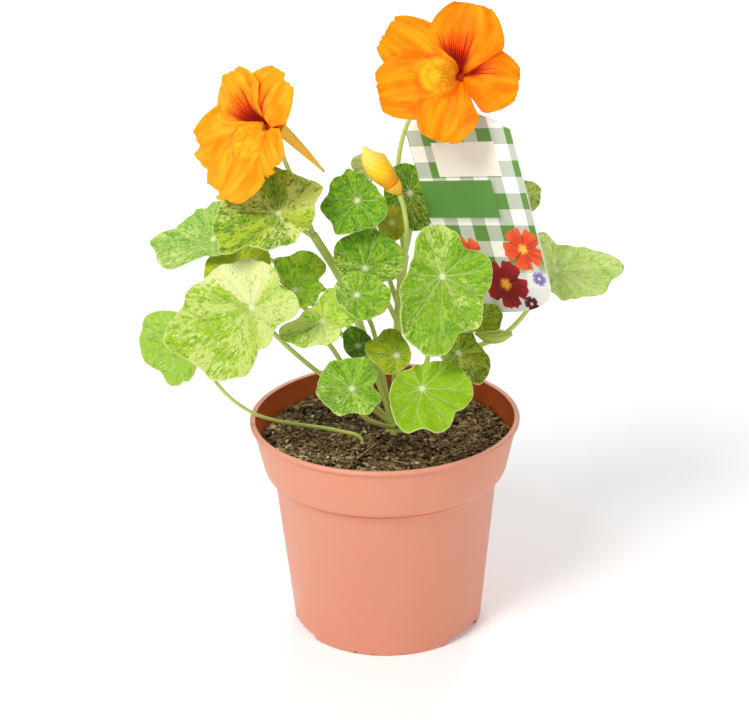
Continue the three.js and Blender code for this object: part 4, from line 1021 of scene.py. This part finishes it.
# Each petal: direction in the face (degrees), length, width, rise over its neighbours, how long its
# claw stays narrow, how far its tip curls back, and the height of its ruffles. An upper petal has
# also the middle of its dark lines, from -1 to 1 across it, and a lower one has None. Lines: how many
# dark lines there are to a petal's half width, how far they spread, and where the tan throat ends.
BLOOMS = {
    "left": dict(
        centre=(-57.7, -14, 255.3), face=-46, lift=8, boss=(-3.4, -6.7),
        petals=((133, 29, 34, 1.6, 0.9, 2, 1.6, 0.1), (60, 31, 30, -0.4, 0.9, 3, 1.4, 0.55),
                (208, 37, 33, -1.2, 1.2, -4, 2, None), (252, 35, 36, 1.6, 1.2, -5, 1.8, None),
                (322, 24, 26, 0.2, 1.2, 0, 1.2, None)),
        colours=("#F07E00", "#FFB428"), lines=(8, 0.6, 0.1), flush=0.35,
        spur=((0.8, 1, 3.2), (3.5, -4, 8.5), (9, -12.5, 16.5), (14, -20, 23)),
        seat=(-1.6, -3), stalk=((-32, 5, 198), (-38, 8, 216), (-44, 5, 234))),
    "right": dict(
        centre=(34.9, -15, 277.9), face=-8, lift=18, boss=(-8.7, 0),
        petals=((79, 33, 35, 1.5, 0.8, 3, 1.4, 0.25), (353, 28, 29, -0.4, 0.8, 2, 1.6, 0.65),
                (256, 30.5, 29, 0.8, 1.2, -1, 1.8, None), (193, 37, 31, 0.9, 1.2, 1, 1.8, None),
                (150, 39, 28, -0.9, 1.2, 2, 1.6, None)),
        colours=("#EA6400", "#FFA010"), lines=(13, 0.55, 0.14), flush=0.7,
        spur=((1.2, 1, 2.2), (4, 5, 9), (7, 8, 17), (9, 8, 25)),
        seat=(-1.9, -1.8), stalk=((11, 18, 182), (8, 34, 204), (10, 37, 230), (19, 20, 256))),
}


def stalk_top(bloom):
    x, y = bloom["seat"]
    return facing(bloom["centre"], bloom["face"], bloom["lift"]) @ Vector((x, y, -STALK_DEPTH))


def petal_half_width(petal, part):
    """A petal's half width, from a narrow claw to a broad blade that rounds off at its tip."""
    claw = LOWER_CLAW if petal[-1] is None else UPPER_CLAW
    if part < PETAL_WIDEST:
        blade = (part / PETAL_WIDEST) ** petal[4]
    else:
        blade = math.sqrt(1 - ((part - PETAL_WIDEST) / (PETAL_END - PETAL_WIDEST)) ** 2)
    return claw + (petal[2] / 2 - claw) * blade


def petal_point(petal, boss, part, across):
    """A point of a petal in the bloom's face frame, and how near it lies to the boss, from 0 to 1."""
    angle, length, _, over, _, curl, ruffle, streaks = petal
    distance = THROAT_RADIUS + (length - THROAT_RADIUS) * part ** PETAL_ROW_SPACING
    half = petal_half_width(petal, part) * (1 + 0.03 * noise.noise(Vector((angle, part * 5, across * 2))))
    side = across * half
    bow = distance - part * side ** 2 / (PETAL_BOW * length)
    # The end is uneven, with shallow notches.
    bow -= part ** 6 * (0.3 + 1.4 * abs(noise.noise(Vector((angle * 3, across * 3.2, 0)))))
    along = math.radians(angle)
    x = bow * math.cos(along) - side * math.sin(along)
    y = bow * math.sin(along) + side * math.cos(along)
    z = over * part - THROAT_DEPTH * math.exp(-(distance - THROAT_RADIUS) / THROAT_FLARE)
    z += ruffle * part ** 2 * math.sin(PETAL_WAVES * across + angle) - curl * (distance / length) ** 3
    # Folds and fine pleats run outwards, and the edge is frilled.
    z += 1.7 * part ** 1.5 * noise.noise(Vector((angle, across * 2.4, distance * 0.06)))
    z += 0.12 * part * math.sin(19 * across + 5 * noise.noise(Vector((angle, across * 2, part * 2))))
    z += (0.9 if streaks is None else 0.4) * part ** 5 * math.sin(9 * across + angle)
    if streaks is None:
        near = math.exp(-((x - boss[0]) ** 2 + (y - boss[1]) ** 2) / BOSS_RADIUS ** 2)
        lumps = 1 + 0.3 * noise.noise(Vector((x, y, angle)) * 0.5)
        return Vector((x, y, z + BOSS_HEIGHT * near * lumps)), near
    off_streaks = (side - streaks * half) / GROOVE_WIDTH
    z -= GROOVE_DEPTH * math.exp(-off_streaks ** 2) * (1 - smooth_step(0.12, 0.45, part))
    return Vector((x, y, z)), 0.0


def petal_skin(name, bloom, settings):
    """A velvety thin petal: orange that pales outwards, fine veins that fan out, lines in the throat."""
    fan, spread, tan_end = bloom["lines"]
    deep, pale = bloom["colours"]
    throat = list(settings.throat_colour)
    material, add, place, marks = start_material("petal_skin_" + name)
    across, part, kind = add("SeparateXYZ", marks).node.outputs
    off = add("Math.ABSOLUTE", across)
    # Broad folds and fine streaks run outwards. The orange is painted deeper in the folds' grooves and paler
    # on their ridges, which is painted shade and light, over the petal's own uneven tone.
    folds = add("TexNoise", add("VectorMath.MULTIPLY", marks, (2.4, 0.8, 7)), 1.3, 3, 0.55)
    tone = add("Math.MULTIPLY_ADD", add("TexNoise", place, 110, 3), 0.4, folds)
    tone = add("MapRange", tone, 0.58, 0.84)
    rim = add("MapRange", part, 0.6, 1, 0, 0.35)
    # Fine veins fan out, about 18 of them to a petal.
    bent = add("Math.MULTIPLY_ADD", add("TexNoise", place, 160, 1), 0.12, across)
    veins = add("Math.PINGPONG", add("Math.MULTIPLY_ADD", bent, 9, 20), 0.5)
    veins = add("MapRange", veins, 0.22, 0, 0, 0.15)
    colour = painted(add, deep, (tone, pale), (0.2, list(settings.colour)), (rim, pale),
                     (veins, "#E86400"))
    # Lower petals: a golden cushion, and past it an orange-red flush along the middle.
    flush = add("MapRange", kind, 0.002, 0.03, 0, bloom["flush"])
    flush = add("Math.MULTIPLY", flush, add("MapRange", off, 0.45, 0.05))
    cushion = add("MapRange", kind, 0.05, 0.22, 0, 0.95)
    # The gold of the cushion is deeper orange and paler in patches: partly its own uneven tone, partly
    # painted shade in the folds of its ruffles and painted light on their ridges.
    ruffle_shade_and_tone = add("MapRange", add("TexNoise", place, 340, 2, Distortion=1), 0.3, 0.6)
    gold = painted(add, "#FA9600", (ruffle_shade_and_tone, "#FFC024"))
    lower = painted(add, colour, (flush, "#F24E00"), (cushion, gold))
    # Upper petals: tan in the throat, then dark red, a red glow, and dark lines of uneven length.
    within = add("MapRange", off, spread * 1.25, spread * 0.7)
    for start, rise, fall, end, strength, shade in (
            (-1, -0.5, 0.34, 0.66, 0.95, "#EE3A06"),
            (tan_end, tan_end + 0.05, tan_end + 0.1, tan_end + 0.3, 0.8, throat),
            (-1, -0.5, tan_end - 0.04, tan_end + 0.03, 0.9, "#B8642C")):
        up = add("MapRange", part, start, rise, 0, strength)
        band = add("Math.MULTIPLY", up, add("MapRange", part, end, fall))
        colour = painted(add, colour, (add("Math.MULTIPLY", band, within), shade))
    rays = add("Math.MULTIPLY_ADD", bent, fan, 20)
    uneven = add("TexNoise", rays, 0.9, noise_dimensions="1D")
    reach = add("MapRange", uneven, 0.3, 0.7, 0.4, 0.75)
    width = add("MapRange", add("Math.DIVIDE", part, reach), 0.25, 1, 0.5, 0)
    line = add("Math.SUBTRACT", width, add("Math.PINGPONG", rays, 0.5))
    line = add("Math.MULTIPLY", add("MapRange", line, -0.03, 0.1, 0, 0.95), within)
    upper = painted(add, colour, (line, throat))
    colour = painted(add, lower, (add("Math.GREATER_THAN", kind, 1), upper))
    return end_material(
        material, add, colour, 0.6, add("Math.SUBTRACT", folds, veins), 0.22, Subsurface_Weight=0.08,
        Subsurface_Radius=(0.6, 0.25, 0.05), Subsurface_Scale=0.003, Specular_IOR_Level=0.08)


def fringe_hair():
    """The soft yellow hairs on the claws of the lower petals."""
    material, add, _, marks = start_material("petal_fringe")
    part = add("SeparateXYZ", marks).node.outputs["Y"]
    return end_material(material, add, painted(add, "#FFAC10", (part, "#FFC83E")), 0.55, part, 0.05)


def calyx_skin():
    """Sepals and spur: yellow-orange, a little green at the tip, fine lines along them."""
    material, add, place, marks = start_material("calyx_skin")
    across, part, kind = add("SeparateXYZ", marks).node.outputs
    clouds = add("TexNoise", place, 140, 3)
    colour = painted(
        add, "#F8B41A", (clouds, "#FFD64C"), (fine_lines(add, across, 6, 0.5), "#ECA61C"),
        (add("MapRange", part, 0.8, 1, 0, 0.6), "#B0AC34"), (add("MapRange", kind, 0.5, 0.55), "#D0380A"))
    return end_material(material, add, colour, 0.5, clouds, 0.2, Subsurface_Weight=0.1,
                        Subsurface_Radius=(0.6, 0.3, 0.05), Subsurface_Scale=0.003)


def hair_radius(part, turn):
    return 0.11 * (1 - 0.6 * part)


def spur_radius(part, turn):
    return smooth_radius(SPUR_RADII, part) * (1 + 0.04 * math.sin(5 * turn))


def cup_radius(part, turn):
    return (3.6 - 1.2 * smooth_step(0.4, 1, part)) * (1 + 0.04 * math.sin(5 * turn))


class PLANT_OT_blooms(bpy.types.Operator):
    """Makes the two open flowers: petals, fringe, calyx and spur"""
    bl_idname = "nasturtium.blooms"
    bl_label = "Blooms"

    def execute(self, context):
        settings = context.scene.nasturtium_blooms
        calyx, hairs = calyx_skin(), fringe_hair()
        for name, bloom in BLOOMS.items():
            stand = facing(bloom["centre"], bloom["face"], bloom["lift"])
            bm, marks = start_mesh()
            for petal in bloom["petals"]:

                def place(u, v):
                    across = 1 - 2 * u
                    point, near = petal_point(petal, bloom["boss"], v, across)
                    if petal[-1] is None:
                        return stand @ point, (across, v, near)
                    return stand @ point, (across - petal[-1], v, 2.0)

                add_sheet(bm, marks, *PETAL_STEPS, place)
            skin = petal_skin(name, bloom, settings)
            add_piece(f"bloom_{name}_corolla", bm, [skin, skin], [f"bloom_{name}_petals"],
                      settings.thickness / MM)
            self.add_fringe(name, bloom, stand, hairs)
            self.add_calyx(name, bloom, stand, calyx)
        return {"FINISHED"}

    def add_fringe(self, name, bloom, stand, hairs):
        draw = random.Random("fringe " + name)
        bm, marks = start_mesh()
        for petal in bloom["petals"]:
            if petal[-1] is not None:
                continue
            for _ in range(FRINGE_TRIES):
                part = draw.uniform(0.06, 0.5)
                foot, near = petal_point(petal, bloom["boss"], part, draw.uniform(-1, 1))
                if near < 0.12:
                    continue
                # The hairs lean towards the throat.
                lean = Vector((-foot.x, -foot.y, 0)).normalized() * draw.uniform(-0.2, 0.7)
                bend = lean + Vector((draw.uniform(-0.5, 0.5), draw.uniform(-0.5, 0.5), 0.45))
                tip = bend * draw.uniform(1.4, 2)
                tip += Vector((draw.uniform(-0.6, 0.6), draw.uniform(-0.6, 0.6), 0))
                line = [stand @ foot, stand @ (foot + bend), stand @ (foot + tip)]
                add_tube(bm, marks, line, hair_radius, 5, 6, draw.random())
        add_piece(f"bloom_{name}_fringe", bm, [hairs], None)

    def add_calyx(self, name, bloom, stand, skin):
        bm, marks = start_mesh()
        first = bloom["petals"][0][0] + SEPAL_TURN
        for step in range(SEPAL_COUNT):
            angle = first + 360 / SEPAL_COUNT * step
            turned = stand @ Matrix.Rotation(math.radians(angle), 4, "Z")

            def place(u, v):
                across = 1 - 2 * u
                distance = SEPAL_SEAT + SEPAL_LENGTH * v
                half = 0.97 * SEPAL_WIDTH / 2 * math.cos(math.radians(85) * v ** 1.6)
                height = SEPAL_RISE * math.sin(v * math.pi / 2) - SEPAL_DROP - THROAT_DEPTH
                height += 0.5 * (across ** 2 - 1) * (1 - v)
                return turned @ Vector((distance, across * half, height)), (across, v, 0)

            shape_grid(bm, marks, 10, 16, place)
        bmesh.ops.solidify(bm, geom=bm.faces[:], thickness=0.6)
        spur = [stand @ Vector((x, y, -THROAT_DEPTH - depth)) for x, y, depth in bloom["spur"]]
        cup = [stand @ Vector((0, 0, -THROAT_DEPTH - depth)) for depth in (1.1, 2.4, 3.4)]
        add_tube(bm, marks, spur, spur_radius, 20, 40, 0.3)
        add_tube(bm, marks, cup, cup_radius, 24, 8, 0.6)
        bmesh.ops.recalc_face_normals(bm, faces=bm.faces)
        add_piece(f"bloom_{name}_sepals_and_spur", bm, [skin], [f"bloom_{name}_calyx"])


# ---- Bud and young leaf ----

BUD_LINE = ((-7.5, 1, 241), (-5.5, 1, 237), (-2, 1.5, 232), (2, 2, 227), (5, 2.5, 223))
BUD_RADII = (1.2, 4.2, 5.8, 5.4, 4)
BUD_CALYX_LINE = ((5.4, 2.6, 222.4), (7.2, 2.8, 220), (8.8, 3.2, 217.5))
BUD_CALYX_RADII = (4, 3.2, 1.3)
YOUNG_LEAF_LINE = ((43.5, -5, 151), (50, -6, 149), (56, -7, 149.5), (60.5, -8, 151))
YOUNG_LEAF_RADII = (1.4, 3.2, 3.4, 1.2)


def bud_radius(part, turn):
    wrap = (turn / math.tau * 3 + part * 1.1) % 1
    lap = 0.07 * smooth_step(0, 0.12, wrap) - 0.07 * wrap
    return smooth_radius(BUD_RADII, part) * (0.97 + lap)


def bud_calyx_radius(part, turn):
    return smooth_radius(BUD_CALYX_RADII, part) * (1 + 0.05 * math.sin(5 * turn))


def roll_radius(part, turn):
    lap = (turn / math.tau + 0.15 * part) % 1
    return smooth_radius(YOUNG_LEAF_RADII, part) * (0.86 + 0.14 * smooth_step(0, 0.1, lap) - 0.1 * lap)


def folded_petals():
    """Petals wrapped in the bud: yellow at the calyx, orange where they overlap."""
    material, add, place, marks = start_material("folded_petals")
    around, along, _ = add("SeparateXYZ", marks).node.outputs
    clouds = add("TexNoise", place, 220, 3)
    lines = fine_lines(add, add("Math.MULTIPLY_ADD", along, 0.35, around), 12, 0.35)
    colour = painted(
        add, "#EFE27C", (add("MapRange", along, 0, 0.5), "#F8CE2C"),
        (add("MapRange", along, 0.62, 0.95, 0, 0.9), "#F59410"), (lines, "#EFA01E"))
    return end_material(
        material, add, colour, 0.5, clouds, 0.3, Specular_IOR_Level=0.15, Subsurface_Weight=0.1,
        Subsurface_Radius=(0.6, 0.3, 0.05), Subsurface_Scale=0.003)


def rolled_leaf():
    """The underside of a leaf that is still rolled: yellow-green, with darker veins along it."""
    material, add, place, marks = start_material("rolled_leaf")
    lines = fine_lines(add, add("SeparateXYZ", marks), 9, 0.5)
    colour = painted(add, "#A9C23A", (add("TexNoise", place, 260, 3), "#CFDC6A"), (lines, "#7FA32A"))
    return end_material(material, add, colour, 0.5, lines, 0.25)


class PLANT_OT_bud(bpy.types.Operator):
    """Makes the bud with its calyx, and the young leaf that is still rolled"""
    bl_idname = "nasturtium.bud"
    bl_label = "Bud and young leaf"

    def execute(self, context):
        calyx = bpy.data.materials["calyx_skin"]
        for name, material, replaced, slot, tube in (
                ("bud_folded_petals", folded_petals(), "bud_petals", "petal",
                 (BUD_LINE, bud_radius, 60, 40, 0.2)),
                ("bud_sepals", calyx, "bud_calyx", "calyx",
                 (BUD_CALYX_LINE, bud_calyx_radius, 30, 20, 0.4)),
                ("young_leaf_roll", rolled_leaf(), "young_leaf", "leaf",
                 (YOUNG_LEAF_LINE, roll_radius, 48, 40, 0.6))):
            bm, marks = start_mesh()
            add_tube(bm, marks, *tube)
            add_piece(name, bm, [material], [replaced])
        return {"FINISHED"}


# ---- Label ----

LABEL_CENTRE = (46.8, -2, 203.2)
LABEL_TURN = -38
LABEL_LEAN = 14.2
LABEL_SHOULDER = 47
LABEL_ARCH = 10
LABEL_LOW = -45
LABEL_CORNER_RUN = 34
LABEL_CORNER_RISE = 15
LABEL_THICKNESS = 0.8
LABEL_BEVEL = 0.18
LABEL_SHARP = 30  # degrees over which an edge looks sharp
STAKE_WIDTH = 8
STAKE_TIP = (-49, -113)
# Blank panels of the print: middle, half size and colour, in mm on the label.
PANELS = (((1, 33), (18, 8.5), "#F1ECDD"), ((-9, 13.2), (21, 9.4), "#578C36"))
# The blossoms of the print: middle, radius, turn, and the colours of the petals, their rim and the heart.
BLOSSOMS = (
    ((-12, -15), 10.5, 0.2, "#E2401C", "#F5702A", "#F6C648"),
    ((-22, -33), 9.5, 0.6, "#7E1020", "#A3202C", "#E8A838"),
    ((25, -27), 4.4, 0.7, "#7E74B8", "#B3AAD8", "#F4E7A0"),
    ((5, -30), 14.5, 0.75, "#8A0F20", "#A8202E", "#EFA22E"),
    ((20, -12), 12.5, 0.25, "#E8451A", "#F4642A", "#F8BE3A"),
    ((17, -40), 4.6, 0.3, "#4E1838", "#7C3458", "#E8C868"),
)


def printed_blossom(add, marks, middle, radius, turn, petal, rim, heart):
    """One blossom of the print: its share at this point, and its colour there."""
    off = add("VectorMath.SUBTRACT", marks, (*middle, 0))
    flat = add("VectorMath.MULTIPLY", off, (1, 1, 0))
    reach = add("VectorMath.LENGTH", flat)
    x, y, _ = add("SeparateXYZ", flat).node.outputs
    fan = add("Math.MULTIPLY_ADD", add("Math.ARCTAN2", y, x), 2.5, turn * 5)
    fan = add("Math.ABSOLUTE", add("Math.COSINE", fan))
    # The edge is frilled, and folds run out to it.
    folds = add("TexNoise", add("VectorMath.NORMALIZE", flat), 5, 3)
    frill = add("Math.MULTIPLY_ADD", folds, 0.3 * radius, 0.65 * radius)
    limit = add("MapRange", fan, 0, 0.5, 0.74, 1.08, interpolation_type="SMOOTHSTEP")
    limit = add("Math.MULTIPLY", limit, frill)
    share = add("MapRange", add("Math.SUBTRACT", limit, reach), -0.15, 0.15)
    depth = add("Math.DIVIDE", reach, limit)
    dark = [c * 0.35 for c in linear(petal)[:3]] + [1.0]
    skin = painted(
        add, petal, (add("MapRange", depth, 0.55, 1), rim), (add("MapRange", folds, 0.5, 0.36, 0, 0.6), dark),
        (add("MapRange", fan, 0.22, 0.05, 0, 0.85), dark), (add("MapRange", depth, 0.3, 0.14), heart))
    return share, skin


def printed_card(label):
    """Printed polystyrene: gingham, two blank panels and a spray of plain blossoms, semi-gloss."""
    material, add, _, marks = start_material("printed_polystyrene")
    x, y, _ = add("SeparateXYZ", marks).node.outputs
    check = label.check / MM
    stripes = []
    for axis, start in ((x, -2.5), (y, 0)):
        period = add("Math.FLOORED_MODULO", add("Math.ADD", axis, start + 10 * check), 2 * check)
        stripes.append(add("Math.GREATER_THAN", period, check))

    def within(middle, half, soft):
        """The share of a rectangle at this point, with edges as soft as given."""
        inside = []
        for axis, centre, size in zip((x, y), middle, half):
            off = add("Math.ABSOLUTE", add("Math.SUBTRACT", axis, centre))
            inside.append(add("MapRange", off, size + soft, size - soft))
        return add("Math.MULTIPLY", *inside)

    # The print's pale ground under the blossoms fades up into the gingham.
    ground = add("MapRange", y, -18, -30, 0, 0.9)
    (cream_at, cream_half, cream), (green_at, green_half, green) = PANELS
    shadow = within((green_at[0] + 0.9, green_at[1] - 1.3), green_half, 1.6)
    colour = painted(
        add, "#F7F4EC", (add("Math.MAXIMUM", *stripes), "#BAC3AF"),
        (add("Math.MULTIPLY", *stripes), list(label.green)), (ground, "#E9E6E1"),
        (within(cream_at, cream_half, 0.1), cream), (add("Math.MULTIPLY", shadow, 0.45), "#3B4A35"),
        (within(green_at, green_half, 0.1), green),
        *(printed_blossom(add, marks, *blossom) for blossom in BLOSSOMS))
    grain = add("TexNoise", marks, 2, 2)
    roughness = add("MapRange", grain, 0, 1, 0.28, 0.4)
    return end_material(material, add, colour, roughness, grain, 0.01)


def bare_card():
    """The unprinted back and stake of the label: cream polystyrene with a fine grain."""
    material, add, _, marks = start_material("bare_polystyrene")
    grain = add("TexNoise", marks, 1.6, 3)
    return end_material(material, add, painted(add, "#EDE9DC", (grain, "#F6F3EA")), 0.4, grain, 0.02)


class PLANT_OT_label(bpy.types.Operator):
    """Makes the printed label on its stake"""
    bl_idname = "nasturtium.label"
    bl_label = "Label"

    def execute(self, context):
        label = context.scene.nasturtium_label
        half = label.width / MM / 2
        outline = [(-half, LABEL_LOW), (-half, LABEL_SHOULDER)]
        outline += quadratic((-half, LABEL_SHOULDER), (0, LABEL_SHOULDER + 2 * LABEL_ARCH),
                             (half, LABEL_SHOULDER))
        outline += quadratic((half, LABEL_LOW + LABEL_CORNER_RISE), (half, LABEL_LOW),
                             (half - LABEL_CORNER_RUN, LABEL_LOW))
        outline += [(-half + STAKE_WIDTH, LABEL_LOW), (STAKE_TIP[0] + 1, STAKE_TIP[1]),
                    (STAKE_TIP[0] - 1, STAKE_TIP[1])]
        outline.reverse()
        bm, marks = start_mesh()
        front = LABEL_THICKNESS / 2
        face = bm.faces.new([bm.verts.new((x, y, -front)) for x, y in dict.fromkeys(outline)])
        grown = bmesh.ops.extrude_face_region(bm, geom=[face])
        raised = [part for part in grown["geom"] if isinstance(part, bmesh.types.BMVert)]
        bmesh.ops.translate(bm, vec=(0, 0, LABEL_THICKNESS), verts=raised)
        bmesh.ops.recalc_face_normals(bm, faces=bm.faces)
        sharp = [edge for edge in bm.edges if edge.calc_face_angle(0) > 1.2 and abs(
            edge.verts[0].co.z - edge.verts[1].co.z) < 0.1]
        bmesh.ops.bevel(bm, geom=sharp, offset=LABEL_BEVEL, affect="EDGES", segments=2, profile=0.5,
                        material=-1)
        for face in bm.faces:
            middle = face.calc_center_median()
            face.material_index = 0 if face.normal.z > 0.5 and middle.y > LABEL_LOW - 20 else 1
        for vert in bm.verts:
            vert[marks] = vert.co
        stand = (Matrix.Translation(LABEL_CENTRE)
                 @ Matrix.Rotation(math.radians(-LABEL_LEAN), 4, "Y")
                 @ Matrix.Rotation(math.radians(LABEL_TURN), 4, "Z")
                 @ Matrix.Rotation(math.pi / 2, 4, "X"))
        bmesh.ops.transform(bm, matrix=stand, verts=bm.verts)
        piece = add_piece("label_card", bm, [printed_card(label), bare_card()], ["label"])
        piece.data.set_sharp_from_angle(angle=math.radians(LABEL_SHARP))
        return {"FINISHED"}


def quadratic(start, control, end, steps=16):
    """Points on a quadratic curve."""
    points = []
    for i in range(steps + 1):
        t = i / steps
        points.append(tuple((1 - t) ** 2 * a + 2 * t * (1 - t) * b + t ** 2 * c
                            for a, b, c in zip(start, control, end)))
    return points


# ---- Stage ----

CAMERA_TARGET = (-4.4, 0, 135.6)
CAMERA_DISTANCE = 1000
CAMERA_HEIGHT = 22.63  # degrees over the level
CAMERA_ROLL = -1.12
CAMERA_LENS = 100.74
CAMERA_SENSOR = 36
FLOOR_SIZE = 6000
AIM = (0, 0, 130)  # where the lights point


class PLANT_OT_stage(bpy.types.Operator):
    """Makes the floor, the soft lights and the camera"""
    bl_idname = "nasturtium.stage"
    bl_label = "Stage"

    def execute(self, context):
        stage = context.scene.nasturtium_stage
        context.scene.view_settings.view_transform = "Standard"
        bm, _ = start_mesh()
        bmesh.ops.create_grid(bm, x_segments=1, y_segments=1, size=FLOOR_SIZE)
        bmesh.ops.scale(bm, vec=(MM, MM, MM), verts=bm.verts)
        mesh = end_mesh("floor", bm)
        floor = bpy.data.objects.new("floor", mesh)
        context.scene.collection.objects.link(floor)
        paper, add, place, _ = start_material("white_paper")
        # The glow makes up for the light that the far floor lacks.
        glow = add("MapRange", add("VectorMath.LENGTH", place), 0.35, 1.3, 0.14, 0.5)
        add("OutputMaterial", add(
            "BsdfPrincipled", Base_Color=linear("#F8F8F8"), Roughness=0.9, Emission_Strength=glow))
        mesh.materials.append(paper)

        world = bpy.data.worlds.new("studio")
        context.scene.world = world
        world.use_nodes = True
        world.node_tree.nodes.clear()
        add = functools.partial(add_node, world.node_tree)
        sky, seen = (add("Background", (1, 1, 1, 1), strength) for strength in (stage.sky, 1))
        add("OutputWorld", add("MixShader", add("LightPath"), sky, seen))

        for name, place, size, power in (
                ("key", (-700, -900, 1300), 0.7, stage.key_power),
                ("fill", (900, -1100, 700), 0.9, stage.key_power * 0.12),
                ("rim", (200, 1000, 1200), 0.8, stage.key_power * 0.4)):
            lamp = bpy.data.lights.new(name, "AREA")
            lamp.shape = "DISK"
            lamp.size = size
            lamp.energy = power
            holder = bpy.data.objects.new(name, lamp)
            context.scene.collection.objects.link(holder)
            holder.location = Vector(place) * MM
            aim = Vector(AIM) * MM - holder.location
            holder.rotation_euler = aim.to_track_quat("-Z", "Y").to_euler()

        tilt, roll = math.radians(CAMERA_HEIGHT), math.radians(CAMERA_ROLL)
        back = Vector((0, -math.cos(tilt), math.sin(tilt)))
        right, up = Vector((1, 0, 0)), Vector((0, math.sin(tilt), math.cos(tilt)))
        turned_right = right * math.cos(roll) + up * math.sin(roll)
        turned_up = up * math.cos(roll) - right * math.sin(roll)
        lens = bpy.data.cameras.new("camera")
        lens.lens = CAMERA_LENS
        lens.sensor_width = CAMERA_SENSOR
        camera = bpy.data.objects.new("camera", lens)
        context.scene.collection.objects.link(camera)
        place = Matrix((turned_right, turned_up, back)).transposed().to_4x4()
        place.translation = (Vector(CAMERA_TARGET) + back * CAMERA_DISTANCE) * MM
        camera.matrix_world = place
        context.scene.camera = camera
        return {"FINISHED"}


# ---- Panel and main ----

SETTINGS = {
    "nasturtium_pot": PotSettings, "nasturtium_soil": SoilSettings, "nasturtium_stems": StemSettings,
    "nasturtium_leaves": LeafSettings, "nasturtium_blooms": BloomSettings,
    "nasturtium_label": LabelSettings, "nasturtium_stage": StageSettings,
}
OPERATORS = (PLANT_OT_pot, PLANT_OT_soil, PLANT_OT_leaves, PLANT_OT_stems, PLANT_OT_blooms, PLANT_OT_bud,
             PLANT_OT_label, PLANT_OT_stage)


class PLANT_PT_panel(bpy.types.Panel):
    """Lists the pieces of the plant"""
    bl_label = "Nasturtium"
    bl_idname = "PLANT_PT_panel"
    bl_space_type = "VIEW_3D"
    bl_region_type = "UI"
    bl_category = "Nasturtium"

    def draw(self, context):
        for name in SETTINGS:
            group = getattr(context.scene, name)
            box = self.layout.box()
            for key in group.__annotations__:
                box.prop(group, key)
        for operator in OPERATORS:
            self.layout.operator(operator.bl_idname)


def register():
    for kind in (*SETTINGS.values(), *OPERATORS, PLANT_PT_panel):
        bpy.utils.register_class(kind)
    for name, kind in SETTINGS.items():
        setattr(bpy.types.Scene, name, bpy.props.PointerProperty(type=kind))


def unregister():
    for name in SETTINGS:
        delattr(bpy.types.Scene, name)
    for kind in reversed((*SETTINGS.values(), *OPERATORS, PLANT_PT_panel)):
        bpy.utils.unregister_class(kind)


def main():
    register()
    bpy.ops.nasturtium.pot()
    bpy.ops.nasturtium.soil()
    bpy.ops.nasturtium.leaves()
    bpy.ops.nasturtium.stems()
    bpy.ops.nasturtium.blooms()
    bpy.ops.nasturtium.bud()
    bpy.ops.nasturtium.label()
    bpy.ops.nasturtium.stage()


if __name__ == "__main__":
    main()
